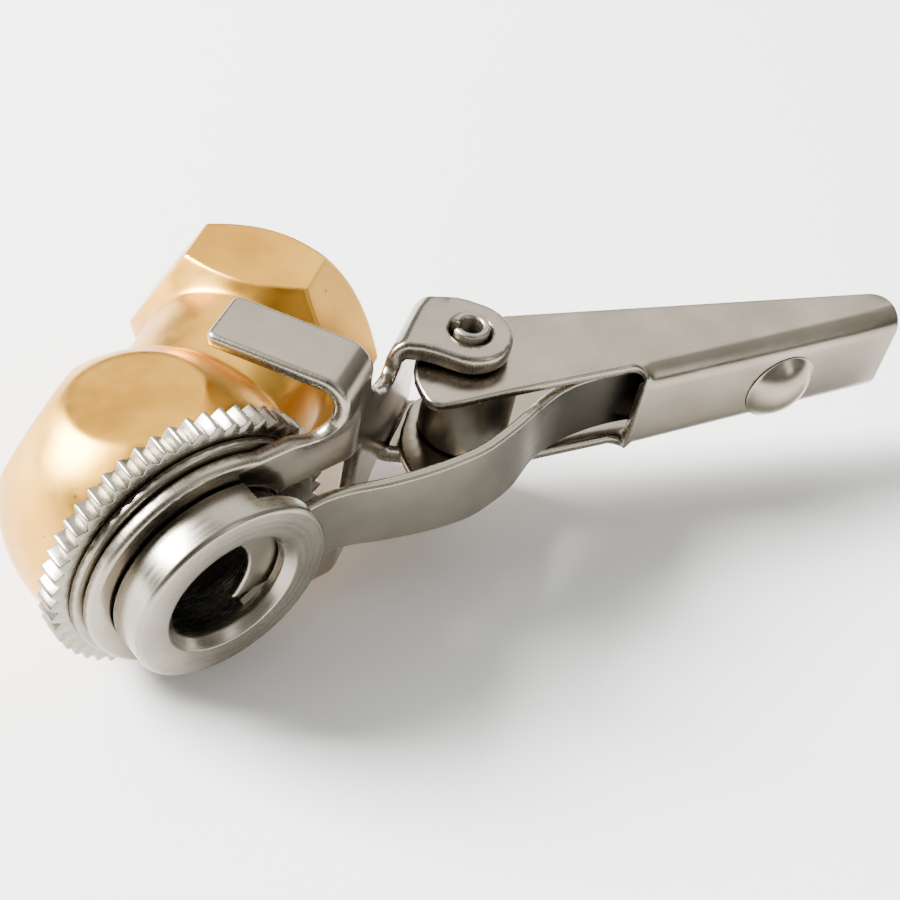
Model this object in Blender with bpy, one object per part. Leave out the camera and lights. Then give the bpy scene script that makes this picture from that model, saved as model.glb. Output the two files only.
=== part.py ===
"""Clip-on air chuck: brass ball-foot body, steel nose and a sprung lever clip.

Metres, +Z up.  +X is the way the nose points and Z is the way the pivot pin stands.
The world origin is the centre of the hose inlet's mouth.  Every piece is placed from
the ball centre, where the axis of the nose crosses the axis of the inlet.
"""
import math

import bmesh
import bpy
from mathutils import Matrix, Vector

MM = 0.001

# ---- clearances (mm) -------------------------------------------------------------
SEAT_GAP = 0.2              # between pieces that rest on each other
RUN_GAP = 0.25              # round a pin or a shank that turns or slides
SPARE = 1.0                 # how far a cutter runs past what it cuts

# ---- brass body (mm) ---------------------------------------------------------------
BALL_RADIUS = 10.8
BALL_FLATS = 19.4           # across the flats that the ball keeps of its bar
BALL_FLATS_TURN = 10.0      # how far those flats lean away from the nose
FRONT_FACE = 3.1            # flat shoulder of the ball, ahead of its centre
NECK_RADIUS = 7.5
INLET_ANGLE = 123.0         # degrees from the nose axis
INLET_FLATS = 17.0
INLET_FLATS_TURN = 4.0
INLET_HEX_START = 15.2      # from the ball centre, along the inlet axis
INLET_HEX_LENGTH = 7.1
HEX_CHAMFER_ANGLE = 30.0
HEX_END_ANGLE = 45.0
HEX_FACE_STEP = 0.1         # turned faces of the hexagon, inside its flats
HEX_BLANK_SPARE = 0.3       # turned blank, beyond the hexagon's corners
HEX_ROOT = 0.4              # sloping step from the neck to the hexagon
INLET_BORE_RADIUS = 5.8
INLET_BORE_DEPTH = 9.6
INLET_LEAD_IN = 0.6
PASSAGE_RADIUS = 2.6
PASSAGE_START = 1.0         # inside the valve cavity, which it opens
CAVITY_RADIUS = 5.2
CAVITY_END = -7.6           # closed end of the valve cavity
O_RING_WIRE = 0.9
O_RING_GAP = 0.1            # round the ring in its groove

# ---- nose (mm) ---------------------------------------------------------------------
NOSE_RADIUS = 7.8
NOSE_HEAD_LENGTH = 3.05
NOSE_EDGE_ROUND = 0.55
NOSE_BORE_RADIUS = 4.6
NOSE_BORE_DEPTH = 6.8
NOSE_LEAD_IN = 0.75
NOSE_STEP = 1.2             # shoulder that clamps the clip, all round
SHANK_RADIUS = NOSE_RADIUS - NOSE_STEP
SHANK_END = -0.5
SEAL_POCKET_RADIUS = 5.6
JAW_SLOT_FRONT = 1.4        # behind the front face
JAW_SLOT_UNDERCUT = 0.3     # the cut runs that far behind the shoulder
JAW_SLOT_CHORD = 2.1        # the saw cut's depth line, from the axis

# ---- stack on the shank (mm) -------------------------------------------------------
KNURL_RADIUS = 11.3
KNURL_THICKNESS = 1.8
KNURL_TEETH = 52
KNURL_DEPTH = 0.6
KNURL_TOOTH = ((0.0, KNURL_DEPTH), (0.2, KNURL_DEPTH), (0.48, 0.0), (0.72, 0.0))
BACK_RING_RADIUS = 9.4
BACK_RING_THICKNESS = 0.5
RING_GAP = 0.15             # between the knurled ring and the ring behind the strap

# ---- clip bracket, pressed from sheet (mm) -------------------------------------------
SHEET = 1.2
STRAP_RADIUS = 9.4
ARM_TOP = 8.7
ARM_INNER = 4.2
ARM_REACH = 12.4
EAR_THICKNESS = 1.8
EAR_INNER = 4.85            # from the middle plane to an ear's inner face
EAR_RADIUS = 3.45
EAR_BEND = 0.3              # inside radius of the bend
EAR_CORNER = 1.6
EAR_BACK = 5.2              # from the pin back to the web's rear face
NECK_OF_WEB = 4.4           # length of the web's waist, below the ears
WEB_SHOULDER = 2.0
WEB_RELIEF = 1.5            # the waist, inside the ears' outer faces
WEB_LAP = 0.35              # where the web runs into the arms and the ears
WEB_SEAT = 0.414            # how far the web's rear face lies behind the arms' rear corner
EAR_FOOT = 0.9              # the ears' root, below their round end
TAB_ANGLE = 30.0
TAB_WIDTH = 4.9
TAB_TOP = 13.1
TAB_LENGTH = 10.35
TAB_BEND = 1.6              # radius of the bend, on the sheet's middle
TAB_LAP = 1.8               # from the arm's inner edge to where the tab starts
TAB_SETBACK = 0.72          # middle of the tab's foot, behind the strap's front
TAB_INSET = 0.8             # the same middle, short of the arm's end

# ---- places worked out from what the nose clamps (mm) ----------------------------------
BACK_RING_FRONT = FRONT_FACE + SEAT_GAP + KNURL_THICKNESS + RING_GAP + BACK_RING_THICKNESS
STRAP_FRONT = BACK_RING_FRONT + SEAT_GAP + SHEET
NOSE_SHOULDER = STRAP_FRONT + SEAT_GAP
NOSE_REACH = NOSE_SHOULDER + NOSE_HEAD_LENGTH
TAB_CENTRE = (STRAP_FRONT - TAB_SETBACK, ARM_REACH - TAB_INSET)

# ---- pivot (mm) ----------------------------------------------------------------------
PIVOT_SETBACK = 4.65        # the pin, behind the strap's front
PIVOT_REACH = 26.5          # the pin, from the nose axis
PIVOT = (STRAP_FRONT - PIVOT_SETBACK, PIVOT_REACH)
ARM_END = Vector((STRAP_FRONT - SHEET, ARM_REACH)) - Vector(PIVOT)
# The way the back web faces, so that it leaves the arms' end and passes behind the pin.
WEB_ANGLE = math.degrees(math.atan2(ARM_END[1], ARM_END[0])
                         + math.acos((WEB_SEAT - EAR_BACK) / ARM_END.length))
PIN_RADIUS = 1.5
PIN_WALL = 0.45
PIN_SLOT = 0.7
PIN_SLOT_WAY = 211.6        # the way the slot faces, from the nose axis
PIN_STAND_OUT = 0.55
BUSH_RADIUS = 3.65
BUSH_WALL = 0.8
BUSH_CHAMFER = 0.25
BUSH_WAY = 30.0             # the way the sleeve hangs off the pin, from the nose axis

# ---- lever (mm), along its own length from the pin -----------------------------------
LEVER_ANGLE = 76.6
LEVER_SHEET = 0.9
LEVER_HALF_HEIGHT = 4.55
LEVER_WEB = 6.77            # the web's outer face, from the pin
LEVER_NOSE_EDGE = 5.1       # free edge of the side plates, at the nose end
LEVER_FRONT_EDGE = 5.45     # the same edge, where the web starts
LEVER_NOSE_END = 5.36
LEVER_WEB_START = 13.0
LEVER_TAIL = 38.9
LEVER_FAR_START = 3.3
LEVER_FAR_TAIL = -3.5
LEVER_HEEL = 3.55
LEVER_NOSE_CORNER = 1.2
LEVER_WEB_SLOPE = 0.5       # the web's end leans back over the side plates
LEVER_TAIL_CORNER = 0.6
FOLD_RADIUS = 1.9
RIVET_PLACE = 27.6
RIVET_DROP = 0.7            # below the lever's middle plane
RIVET_SHANK = 1.3
RIVET_HEAD_RADIUS = 3.3
RIVET_HEAD_HEIGHT = 1.5
RIVET_TAIL_RADIUS = 1.9
RIVET_TAIL_HEIGHT = 0.75
RIVET_WASHER_RADIUS = 2.5
RIVET_WASHER_THICKNESS = 0.5

# ---- jaw leaf (mm) ---------------------------------------------------------------------
LEAF_SHEET = 0.8
LEAF_TIP = 2.3              # jaw notch at rest, from the nose axis
LEAF_STRAIGHT = 6.6         # straight run from the jaw out of the nose's slot
LEAF_BOW = ((0.32, 11.1), (1.17, 13.7), (1.81, 16.1), (2.3, 18.6), (2.55, 21.5), (2.21, 24.2))
LEAF_ROOT_BOW = ((4.6, -5.6), (7.4, -4.6), (10.6, -4.2), (14.0, -4.35))
LEAF_FLAT_START = 17.6      # the leaf lies on the lever's web from here, along the lever
LEAF_FLAT_STEP = 3.2
LEAF_PAST_RIVET = 5.6
LEAF_NOTCH_RADIUS = 4.2
LEAF_HALF_JAW = 3.1
LEAF_HALF_BELLY = 4.0
LEAF_HALF_THROAT = 3.3
LEAF_HALF_ROOT = 2.9
FLEX_LINE_GAP = 0.25        # cut where the spring leaf bends
FLEX_REACH = 7.56           # from the pin, towards the nose's side

# ---- valve (mm), along the nose axis ---------------------------------------------------
STEM_SEAL_THICKNESS = 2.0
STEM_SEAL_BORE = 2.4
SEAL_WASHER_THICKNESS = 0.5
VALVE_SEAT_THICKNESS = 1.1
VALVE_SEAT_BORE = 2.0
DEPRESSOR_RADIUS = 1.0
DEPRESSOR_TIP = 4.7
POPPET_RADIUS = 3.2
POPPET_THICKNESS = 1.1
POPPET_SEAL_THICKNESS = 0.9
POPPET_GUIDE = 1.0          # boss behind the poppet, inside the spring
POPPET_SOCKET = 0.8         # depth of the hole that takes the pin's tenon
TENON_RADIUS = 0.75
TIP_CHAMFER = 0.3
SPRING_WIRE = 0.5
SPRING_RADIUS = 2.1
SPRING_TURNS = 4
SPRING_POINTS = 10          # points in each curl

ROUND_SIDES = 60            # sides of a large turned piece
SMALL_SIDES = 32
COARSE_SIDES = 40
PIN_SIDES = 24


# ---- helpers -----------------------------------------------------------------------------
def clear_scene():
    for old in list(bpy.data.objects):
        bpy.data.objects.remove(old, do_unlink=True)


def srgb(text):
    values = [int(text[i:i + 2], 16) / 255 for i in (0, 2, 4)]
    linear = [v / 12.92 if v <= 0.04045 else ((v + 0.055) / 1.055) ** 2.4 for v in values]
    return (*linear, 1.0)


def material(name, colour, roughness, metallic):
    made = bpy.data.materials.new(name)
    made.use_nodes = True
    shader = made.node_tree.nodes["Principled BSDF"]
    shader.inputs["Base Color"].default_value = srgb(colour)
    shader.inputs["Roughness"].default_value = roughness
    shader.inputs["Metallic"].default_value = metallic
    return made


def add_object(name, bm, parent, look=None, sharp=35.0):
    """Makes an object of a bmesh drawn in millimetres, under its parent empty."""
    bmesh.ops.scale(bm, vec=(MM, MM, MM), verts=bm.verts)
    bmesh.ops.recalc_face_normals(bm, faces=bm.faces)
    mesh = bpy.data.meshes.new(name)
    bm.to_mesh(mesh)
    bm.free()
    mesh.shade_smooth()
    mesh.set_sharp_from_angle(angle=math.radians(sharp))
    made = bpy.data.objects.new(name, mesh)
    bpy.context.collection.objects.link(made)
    made.parent = parent
    if look:
        mesh.materials.append(look)
    return made


def empty(name, place, parent=None, turn=0.0):
    made = bpy.data.objects.new(name, None)
    made.location = Vector((place[0], place[1], place[2] if len(place) > 2 else 0.0)) * MM
    made.rotation_euler = (0.0, 0.0, math.radians(turn))
    made.parent = parent
    bpy.context.collection.objects.link(made)
    return made


def lathe(profile, sides=ROUND_SIDES):
    """Turns (x, radius) points round X.  A closed loop, or open with both ends on X."""
    bm = bmesh.new()
    closed = profile[0][1] > 0
    rings = []
    for x, radius in profile:
        if radius <= 0:
            rings.append([bm.verts.new((x, 0, 0))])
            continue
        ring = []
        for i in range(sides):
            turn = 2 * math.pi * i / sides
            ring.append(bm.verts.new((x, radius * math.cos(turn), radius * math.sin(turn))))
        rings.append(ring)
    pairs = list(zip(rings, rings[1:]))
    if closed:
        pairs.append((rings[-1], rings[0]))
    for first, second in pairs:
        for i in range(sides):
            j = (i + 1) % sides
            if len(first) == 1:
                bm.faces.new((first[0], second[j], second[i]))
            elif len(second) == 1:
                bm.faces.new((first[i], first[j], second[0]))
            else:
                bm.faces.new((first[i], first[j], second[j], second[i]))
    return bm


def prism(outline, low, high):
    """Extrudes a plan outline along Z."""
    bm = bmesh.new()
    bottom = [bm.verts.new((x, y, low)) for x, y in outline]
    base = bm.faces.new(bottom)
    grown = bmesh.ops.extrude_face_region(bm, geom=[base])
    moved = [item for item in grown["geom"] if isinstance(item, bmesh.types.BMVert)]
    bmesh.ops.translate(bm, verts=moved, vec=(0, 0, high - low))
    return bm


def along_x(bm):
    """Turns a plan drawn as (y, z) and raised along Z so that it is raised along X."""
    turn = Matrix(((0, 0, 1, 0), (1, 0, 0, 0), (0, 1, 0, 0), (0, 0, 0, 1)))
    bmesh.ops.transform(bm, matrix=turn, verts=bm.verts)
    return bm


def upright(bm):
    """Turns X to Z, Y to X and Z to Y: a piece turned round X stands along Z."""
    turn = Matrix(((0, 1, 0, 0), (0, 0, 1, 0), (1, 0, 0, 0), (0, 0, 0, 1)))
    bmesh.ops.transform(bm, matrix=turn, verts=bm.verts)
    return bm


def rod(radius, low, high, sides=SMALL_SIDES):
    return lathe([(low, 0), (low, radius), (high, radius), (high, 0)], sides)


def box(low, high):
    outline = [(low[0], low[1]), (high[0], low[1]), (high[0], high[1]), (low[0], high[1])]
    return prism(outline, low[2], high[2])


def arc(centre, radius, start, end, steps):
    points = []
    for i in range(steps + 1):
        turn = math.radians(start + (end - start) * i / steps)
        points.append((centre[0] + radius * math.cos(turn), centre[1] + radius * math.sin(turn)))
    return points


def regular(sides, flats, turn=0.0):
    corner = flats / 2 / math.cos(math.pi / sides)
    return [(corner * math.cos(math.radians(turn) + 2 * math.pi * (i + 0.5) / sides),
             corner * math.sin(math.radians(turn) + 2 * math.pi * (i + 0.5) / sides))
            for i in range(sides)]


def smooth_path(points, steps):
    """A smooth curve through a few points of a plan (Catmull-Rom)."""
    ends = [tuple(2 * a - b for a, b in zip(points[0], points[1]))]
    tail = [tuple(2 * a - b for a, b in zip(points[-1], points[-2]))]
    knots = ends + list(points) + tail
    path = []
    for k in range(1, len(knots) - 2):
        p0, p1, p2, p3 = (Vector(knots[k + i]) for i in (-1, 0, 1, 2))
        for i in range(steps):
            t = i / steps
            path.append(0.5 * (2 * p1 + (p2 - p0) * t + (2 * p0 - 5 * p1 + 4 * p2 - p3) * t * t
                               + (3 * p1 - p0 - 3 * p2 + p3) * t ** 3))
    path.append(Vector(knots[-2]))
    return path


def bent_strip(path, halves, thickness, tip=None, columns=8):
    """Sheet that follows a plan path.  halves is the half width along Z at each point,
    tip(z) moves the first edge back along the path, for a shaped end."""
    bm = bmesh.new()
    sides = ([], [])
    for i, point in enumerate(path):
        ahead = (path[min(i + 1, len(path) - 1)] - path[max(i - 1, 0)]).normalized()
        out = Vector((-ahead[1], ahead[0]))
        for side, sign in zip(sides, (1, -1)):
            row = []
            for j in range(columns + 1):
                z = halves[i] * (2 * j / columns - 1)
                spot = point + out * sign * thickness / 2
                if i == 0 and tip:
                    spot = spot + ahead * tip(z)
                row.append(bm.verts.new((spot[0], spot[1], z)))
            side.append(row)
    left, right = sides
    last = len(path) - 1
    for i in range(last):
        for j in range(columns):
            bm.faces.new((left[i][j], left[i + 1][j], left[i + 1][j + 1], left[i][j + 1]))
            bm.faces.new((right[i][j], right[i][j + 1], right[i + 1][j + 1], right[i + 1][j]))
        for j in (0, columns):
            bm.faces.new((left[i][j], right[i][j], right[i + 1][j], left[i + 1][j]))
    for i in (0, last):
        for j in range(columns):
            bm.faces.new((left[i][j], left[i][j + 1], right[i][j + 1], right[i][j]))
    return bm


def boolean(target, tool, kind="DIFFERENCE"):
    cut = target.modifiers.new(tool.name, "BOOLEAN")
    cut.object = tool
    cut.operation = kind
    tool.hide_render = True
    tool.hide_viewport = False
    tool.display_type = "WIRE"
    return cut


def turned(angle):
    return math.cos(math.radians(angle)), math.sin(math.radians(angle))


# ---- brass body ----------------------------------------------------------------------------
def inlet_mouth():
    c, s = turned(INLET_ANGLE)
    reach = INLET_HEX_START + INLET_HEX_LENGTH
    return reach * c, reach * s


def make_body(frame, look):
    inlet = empty("inlet_axis", (0, 0), frame, INLET_ANGLE)
    face_radius = INLET_FLATS / 2 - HEX_FACE_STEP
    corner = INLET_FLATS / math.sqrt(3) + HEX_BLANK_SPARE
    trim = corner - face_radius
    chamfer = trim * math.tan(math.radians(HEX_CHAMFER_ANGLE))
    end_chamfer = trim * math.tan(math.radians(HEX_END_ANGLE))
    mouth = INLET_HEX_START + INLET_HEX_LENGTH
    neck_start = math.sqrt(BALL_RADIUS ** 2 - NECK_RADIUS ** 2)
    ball = arc((0, 0), BALL_RADIUS, 180, math.degrees(math.atan2(NECK_RADIUS, neck_start)), 30)
    ball[0] = (-BALL_RADIUS, 0)
    profile = ball + [(INLET_HEX_START - HEX_ROOT, NECK_RADIUS),
                      (INLET_HEX_START, face_radius),
                      (INLET_HEX_START + chamfer, corner),
                      (mouth - end_chamfer, corner),
                      (mouth, face_radius),
                      (mouth, 0)]
    body = add_object("brass_body", lathe(profile), inlet, look, 28.0)

    bar = regular(6, BALL_FLATS, 30 - BALL_FLATS_TURN)
    bar = along_x(prism(bar, -BALL_RADIUS - SPARE, INLET_HEX_START - HEX_ROOT - SPARE))
    head = regular(6, INLET_FLATS, 30 - INLET_FLATS_TURN)
    head = along_x(prism(head, INLET_HEX_START - HEX_ROOT - 2 * SPARE, mouth + SPARE))
    bar_tool = add_object("bar_flats", bar, inlet)
    head_tool = add_object("hex_flats", head, inlet)
    boolean(bar_tool, head_tool, "UNION")
    boolean(body, bar_tool, "INTERSECT")

    wide = BALL_RADIUS + SPARE
    face = box((FRONT_FACE, -wide, -wide), (wide, KNURL_RADIUS + 2 * SEAT_GAP, wide))
    boolean(body, add_object("front_face", face, frame))

    thread = SHANK_RADIUS + RUN_GAP
    thread_end = SHANK_END - 2 * SEAT_GAP
    groove_radius = thread + O_RING_WIRE + O_RING_GAP
    groove = FRONT_FACE - O_RING_WIRE - 3 * O_RING_GAP
    bore = [(CAVITY_END, 0), (CAVITY_END, CAVITY_RADIUS), (thread_end, CAVITY_RADIUS),
            (thread_end, thread), (groove, thread), (groove, groove_radius),
            (FRONT_FACE + SPARE, groove_radius), (FRONT_FACE + SPARE, 0)]
    nose_tool = add_object("nose_bore", lathe(bore), frame)
    boolean(body, nose_tool)

    wide_mouth = INLET_BORE_RADIUS + INLET_LEAD_IN + SPARE
    bore = [(PASSAGE_START, 0), (PASSAGE_START, PASSAGE_RADIUS),
            (mouth - INLET_BORE_DEPTH, PASSAGE_RADIUS),
            (mouth - INLET_BORE_DEPTH, INLET_BORE_RADIUS),
            (mouth - INLET_LEAD_IN, INLET_BORE_RADIUS),
            (mouth + SPARE, wide_mouth), (mouth + SPARE, 0)]
    inlet_tool = add_object("inlet_bore", lathe(bore, COARSE_SIDES), inlet)
    boolean(body, inlet_tool)
    return body


def make_o_ring(frame, look):
    middle = SHANK_RADIUS + RUN_GAP + O_RING_WIRE / 2
    wire = arc((FRONT_FACE - O_RING_GAP - O_RING_WIRE / 2, middle), O_RING_WIRE / 2, 0, 324, 9)
    return add_object("body_o_ring", lathe(wire, COARSE_SIDES), frame, look)


# ---- nose and what it clamps -----------------------------------------------------------------
def make_nose(frame, look):
    front = NOSE_REACH
    shoulder = NOSE_SHOULDER
    pocket = front - NOSE_BORE_DEPTH
    edge = arc((front - NOSE_EDGE_ROUND, NOSE_RADIUS - NOSE_EDGE_ROUND), NOSE_EDGE_ROUND, 90, 0, 4)
    profile = [(shoulder, SHANK_RADIUS), (shoulder, NOSE_RADIUS)] + edge
    profile += [(front, NOSE_BORE_RADIUS + NOSE_LEAD_IN), (front - NOSE_LEAD_IN, NOSE_BORE_RADIUS),
                (pocket, NOSE_BORE_RADIUS), (pocket, SEAL_POCKET_RADIUS),
                (SHANK_END, SEAL_POCKET_RADIUS), (SHANK_END, SHANK_RADIUS)]
    nose = add_object("nose_sleeve", lathe(profile), frame, look)
    wide = NOSE_RADIUS + SPARE
    slot = box((shoulder - JAW_SLOT_UNDERCUT, JAW_SLOT_CHORD, -wide),
               (front - JAW_SLOT_FRONT, wide, wide))
    boolean(nose, add_object("jaw_slot", slot, frame))
    return nose


def make_knurled_ring(frame, look):
    back = FRONT_FACE + SEAT_GAP
    outer = []
    step = 360 / KNURL_TEETH
    for i in range(KNURL_TEETH):
        for share, depth in KNURL_TOOTH:
            c, s = turned(step * (i + share))
            outer.append(((KNURL_RADIUS - depth) * c, (KNURL_RADIUS - depth) * s))
    inner_radius = SHANK_RADIUS + RUN_GAP
    bm = bmesh.new()
    loops = []
    for x, outside in ((back, True), (back + KNURL_THICKNESS, True),
                       (back + KNURL_THICKNESS, False), (back, False)):
        ring = []
        for y, z in outer:
            share = 1.0 if outside else inner_radius / math.hypot(y, z)
            ring.append(bm.verts.new((x, y * share, z * share)))
        loops.append(ring)
    count = len(outer)
    for first, second in zip(loops, loops[1:] + loops[:1]):
        for i in range(count):
            j = (i + 1) % count
            bm.faces.new((first[i], first[j], second[j], second[i]))
    return add_object("knurled_ring", bm, frame, look, 25.0)


def make_back_ring(frame, look):
    front = BACK_RING_FRONT
    back = front - BACK_RING_THICKNESS
    inner = SHANK_RADIUS + RUN_GAP
    ring = [(back, inner), (front, inner), (front, BACK_RING_RADIUS), (back, BACK_RING_RADIUS)]
    return add_object("backing_ring", lathe(ring), frame, look)


# ---- clip bracket ----------------------------------------------------------------------------
def web_frame(frame):
    """Empty on the pin's axis, its X facing the way the back web faces."""
    return empty("web_axis", PIVOT, frame, WEB_ANGLE)


def make_bracket(frame, look):
    high = math.degrees(math.asin(ARM_TOP / STRAP_RADIUS))
    inner_radius = SHANK_RADIUS + RUN_GAP
    low = math.degrees(math.asin(ARM_INNER / inner_radius))
    outline = [(ARM_REACH, ARM_TOP)] + arc((0, 0), STRAP_RADIUS, high, 360 - high, 40)
    outline += [(ARM_REACH, -ARM_TOP), (ARM_REACH, -ARM_INNER)]
    outline += arc((0, 0), inner_radius, 360 - low, low, 36) + [(ARM_REACH, ARM_INNER)]
    strap = along_x(prism(outline, STRAP_FRONT - SHEET, STRAP_FRONT))
    bracket = add_object("clip_bracket", strap, frame, look, 30.0)

    web = web_frame(frame)
    c, s = turned(WEB_ANGLE)
    start = -ARM_END[0] * s + ARM_END[1] * c - WEB_LAP
    shoulder = start + WEB_SHOULDER
    ear_top = EAR_INNER + EAR_THICKNESS
    waist = ear_top - WEB_RELIEF
    narrow = -EAR_RADIUS - NECK_OF_WEB
    ear_start = -EAR_RADIUS - WEB_LAP
    outline = [(start, -ARM_TOP), (shoulder, -ARM_TOP), (narrow, -waist), (ear_start, -waist),
               (ear_start, waist), (narrow, waist), (shoulder, ARM_TOP), (start, ARM_TOP)]
    plate = along_x(prism(outline, -EAR_BACK, -EAR_BACK + SHEET))
    boolean(bracket, add_object("back_web", plate, web), "UNION")

    inner = -EAR_BACK + SHEET
    fold = EAR_BEND + EAR_THICKNESS
    section = [(EAR_RADIUS, ear_top), (EAR_RADIUS, EAR_INNER)]
    section += arc((inner + EAR_BEND, EAR_INNER - EAR_BEND), EAR_BEND, 90, 180, 3)
    section += arc((inner + EAR_BEND, -EAR_INNER + EAR_BEND), EAR_BEND, 180, 270, 3)
    section += [(EAR_RADIUS, -EAR_INNER), (EAR_RADIUS, -ear_top)]
    section += arc((-EAR_BACK + fold, -ear_top + fold), fold, 270, 180, 6)
    section += arc((-EAR_BACK + fold, ear_top - fold), fold, 180, 90, 6)
    cradle = prism([(z, u) for u, z in section], -EAR_RADIUS - EAR_FOOT, EAR_RADIUS)
    cradle = add_object("ear_cradle", upright(cradle), web)
    corner = EAR_RADIUS - EAR_CORNER
    foot_front = -EAR_BACK + SHEET - EAR_BEND
    plan = [(-EAR_BACK - SPARE, -EAR_RADIUS - SPARE), (foot_front, -EAR_RADIUS - SPARE),
            (foot_front, -EAR_RADIUS)]
    plan += arc((0, 0), EAR_RADIUS, -90, 90, 20)
    plan += arc((-EAR_BACK + EAR_CORNER, corner), EAR_CORNER, 90, 180, 5)
    plan += [(-EAR_BACK - SPARE, corner)]
    plan = prism(plan, -ear_top - SPARE, ear_top + SPARE)
    boolean(cradle, add_object("ear_plan", plan, web), "INTERSECT")
    boolean(bracket, cradle, "UNION")

    hole = rod(PIN_RADIUS + RUN_GAP / 2, -ear_top - SPARE, ear_top + SPARE)
    boolean(bracket, add_object("pin_holes", upright(hole), web))

    tab_axis = empty("tab_axis", TAB_CENTRE, frame, TAB_ANGLE)
    height = TAB_TOP - SHEET / 2
    path = [Vector((0.0, ARM_INNER + TAB_LAP)), Vector((0.0, ARM_TOP))]
    path += [Vector(p) for p in arc((-TAB_BEND, height - TAB_BEND), TAB_BEND, 0, 90, 8)]
    path += [Vector((-TAB_LENGTH, height))]
    strip = bent_strip(path, [TAB_WIDTH / 2] * len(path), SHEET, columns=2)
    bmesh.ops.transform(strip, matrix=Matrix.Rotation(math.pi / 2, 4, "X"), verts=strip.verts)
    boolean(bracket, add_object("finger_tab", strip, tab_axis), "UNION")
    return bracket


# ---- pivot ---------------------------------------------------------------------------------
def make_pin(frame, look):
    """Slotted spring pin: a rolled wall, open along one side."""
    half = EAR_INNER + EAR_THICKNESS + PIN_STAND_OUT
    gap = math.degrees(PIN_SLOT / PIN_RADIUS) / 2
    first, last = PIN_SLOT_WAY + gap, PIN_SLOT_WAY + 360 - gap
    outer = arc((0, 0), PIN_RADIUS, first, last, SMALL_SIDES - 4)
    inner = arc((0, 0), PIN_RADIUS - PIN_WALL, last, first, SMALL_SIDES - 4)
    holder = empty("pin_axis", PIVOT, frame)
    return add_object("pivot_pin", prism(outer + inner, -half, half), holder, look)


def make_sleeve(frame, look):
    """Rolled sleeve that hangs on the pin, inside the lever."""
    half = LEVER_HALF_HEIGHT - LEVER_SHEET - SEAT_GAP
    inner = BUSH_RADIUS - BUSH_WALL
    edge = BUSH_RADIUS - BUSH_CHAMFER
    ring = [(-half, inner), (-half, edge), (-half + BUSH_CHAMFER, BUSH_RADIUS),
            (half - BUSH_CHAMFER, BUSH_RADIUS), (half, edge), (half, inner)]
    bm = upright(lathe(ring, COARSE_SIDES))
    c, s = turned(BUSH_WAY)
    off = inner - PIN_RADIUS - RUN_GAP
    holder = empty("sleeve_axis", (PIVOT[0] + off * c, PIVOT[1] + off * s), frame)
    return add_object("spacer_sleeve", bm, holder, look)


# ---- lever -----------------------------------------------------------------------------------
def make_lever(pivot, look):
    slope = (LEVER_FAR_TAIL - LEVER_FAR_START) / LEVER_TAIL
    heel = arc((0, 0), LEVER_HEEL, 90 + math.degrees(math.atan(slope)), 150, 8)
    web = -LEVER_WEB
    corner = LEVER_NOSE_CORNER
    nose = arc((-LEVER_NOSE_END + corner, -LEVER_NOSE_EDGE + corner), corner, 180, 260, 5)
    outline = heel + [(-LEVER_NOSE_END + corner / 2, -corner / 2),
                      (-LEVER_NOSE_END, -LEVER_NOSE_EDGE / 2)] + nose
    outline += [(LEVER_WEB_START - LEVER_WEB_SLOPE, -LEVER_FRONT_EDGE), (LEVER_WEB_START, web),
                (LEVER_TAIL - LEVER_TAIL_CORNER, web), (LEVER_TAIL, web + LEVER_TAIL_CORNER),
                (LEVER_TAIL, LEVER_FAR_TAIL)]
    bm = prism(outline, -LEVER_HALF_HEIGHT, LEVER_HALF_HEIGHT)
    round_folds(bm, web, FOLD_RADIUS, 5)
    lever = add_object("lever", bm, pivot, look)

    inside = LEVER_HALF_HEIGHT - LEVER_SHEET
    wall = web + LEVER_SHEET
    bm = box((-LEVER_NOSE_END - SPARE, wall, -inside),
             (LEVER_TAIL + SPARE, LEVER_HEEL + SPARE, inside))
    round_folds(bm, wall, FOLD_RADIUS - LEVER_SHEET, 3)
    boolean(lever, add_object("lever_hollow", bm, pivot))

    half = LEVER_HALF_HEIGHT + SPARE
    hole = upright(rod(PIN_RADIUS + RUN_GAP, -half, half))
    boolean(lever, add_object("lever_pin_holes", hole, pivot))
    boolean(lever, add_object("lever_rivet_hole", rivet_hole(), pivot))
    return lever


def round_folds(bm, face, radius, segments):
    """Rounds the two long edges of the channel's web, or of its hollow, at Y = face."""
    folds = [edge for edge in bm.edges
             if all(abs(v.co.y - face) < 1e-4 for v in edge.verts)
             and abs(edge.verts[0].co.z - edge.verts[1].co.z) < 1e-4]
    bmesh.ops.bevel(bm, geom=folds, offset=radius, segments=segments, profile=0.5, affect="EDGES")


def at_rivet(bm):
    """Lays a piece turned round X across the lever's web, at the rivet's place.
    Its X points out of the web."""
    lay = Matrix(((0, 1, 0, RIVET_PLACE), (-1, 0, 0, 0), (0, 0, 1, -RIVET_DROP), (0, 0, 0, 1)))
    bmesh.ops.transform(bm, matrix=lay, verts=bm.verts)
    return bm


def rivet_hole():
    """Cutter for the hole in the lever's web and in the leaf."""
    inside = LEVER_WEB - LEVER_SHEET - SEAT_GAP - LEAF_SHEET - SPARE
    return at_rivet(rod(RIVET_SHANK + RUN_GAP, inside, LEVER_WEB + SPARE, PIN_SIDES))


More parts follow.
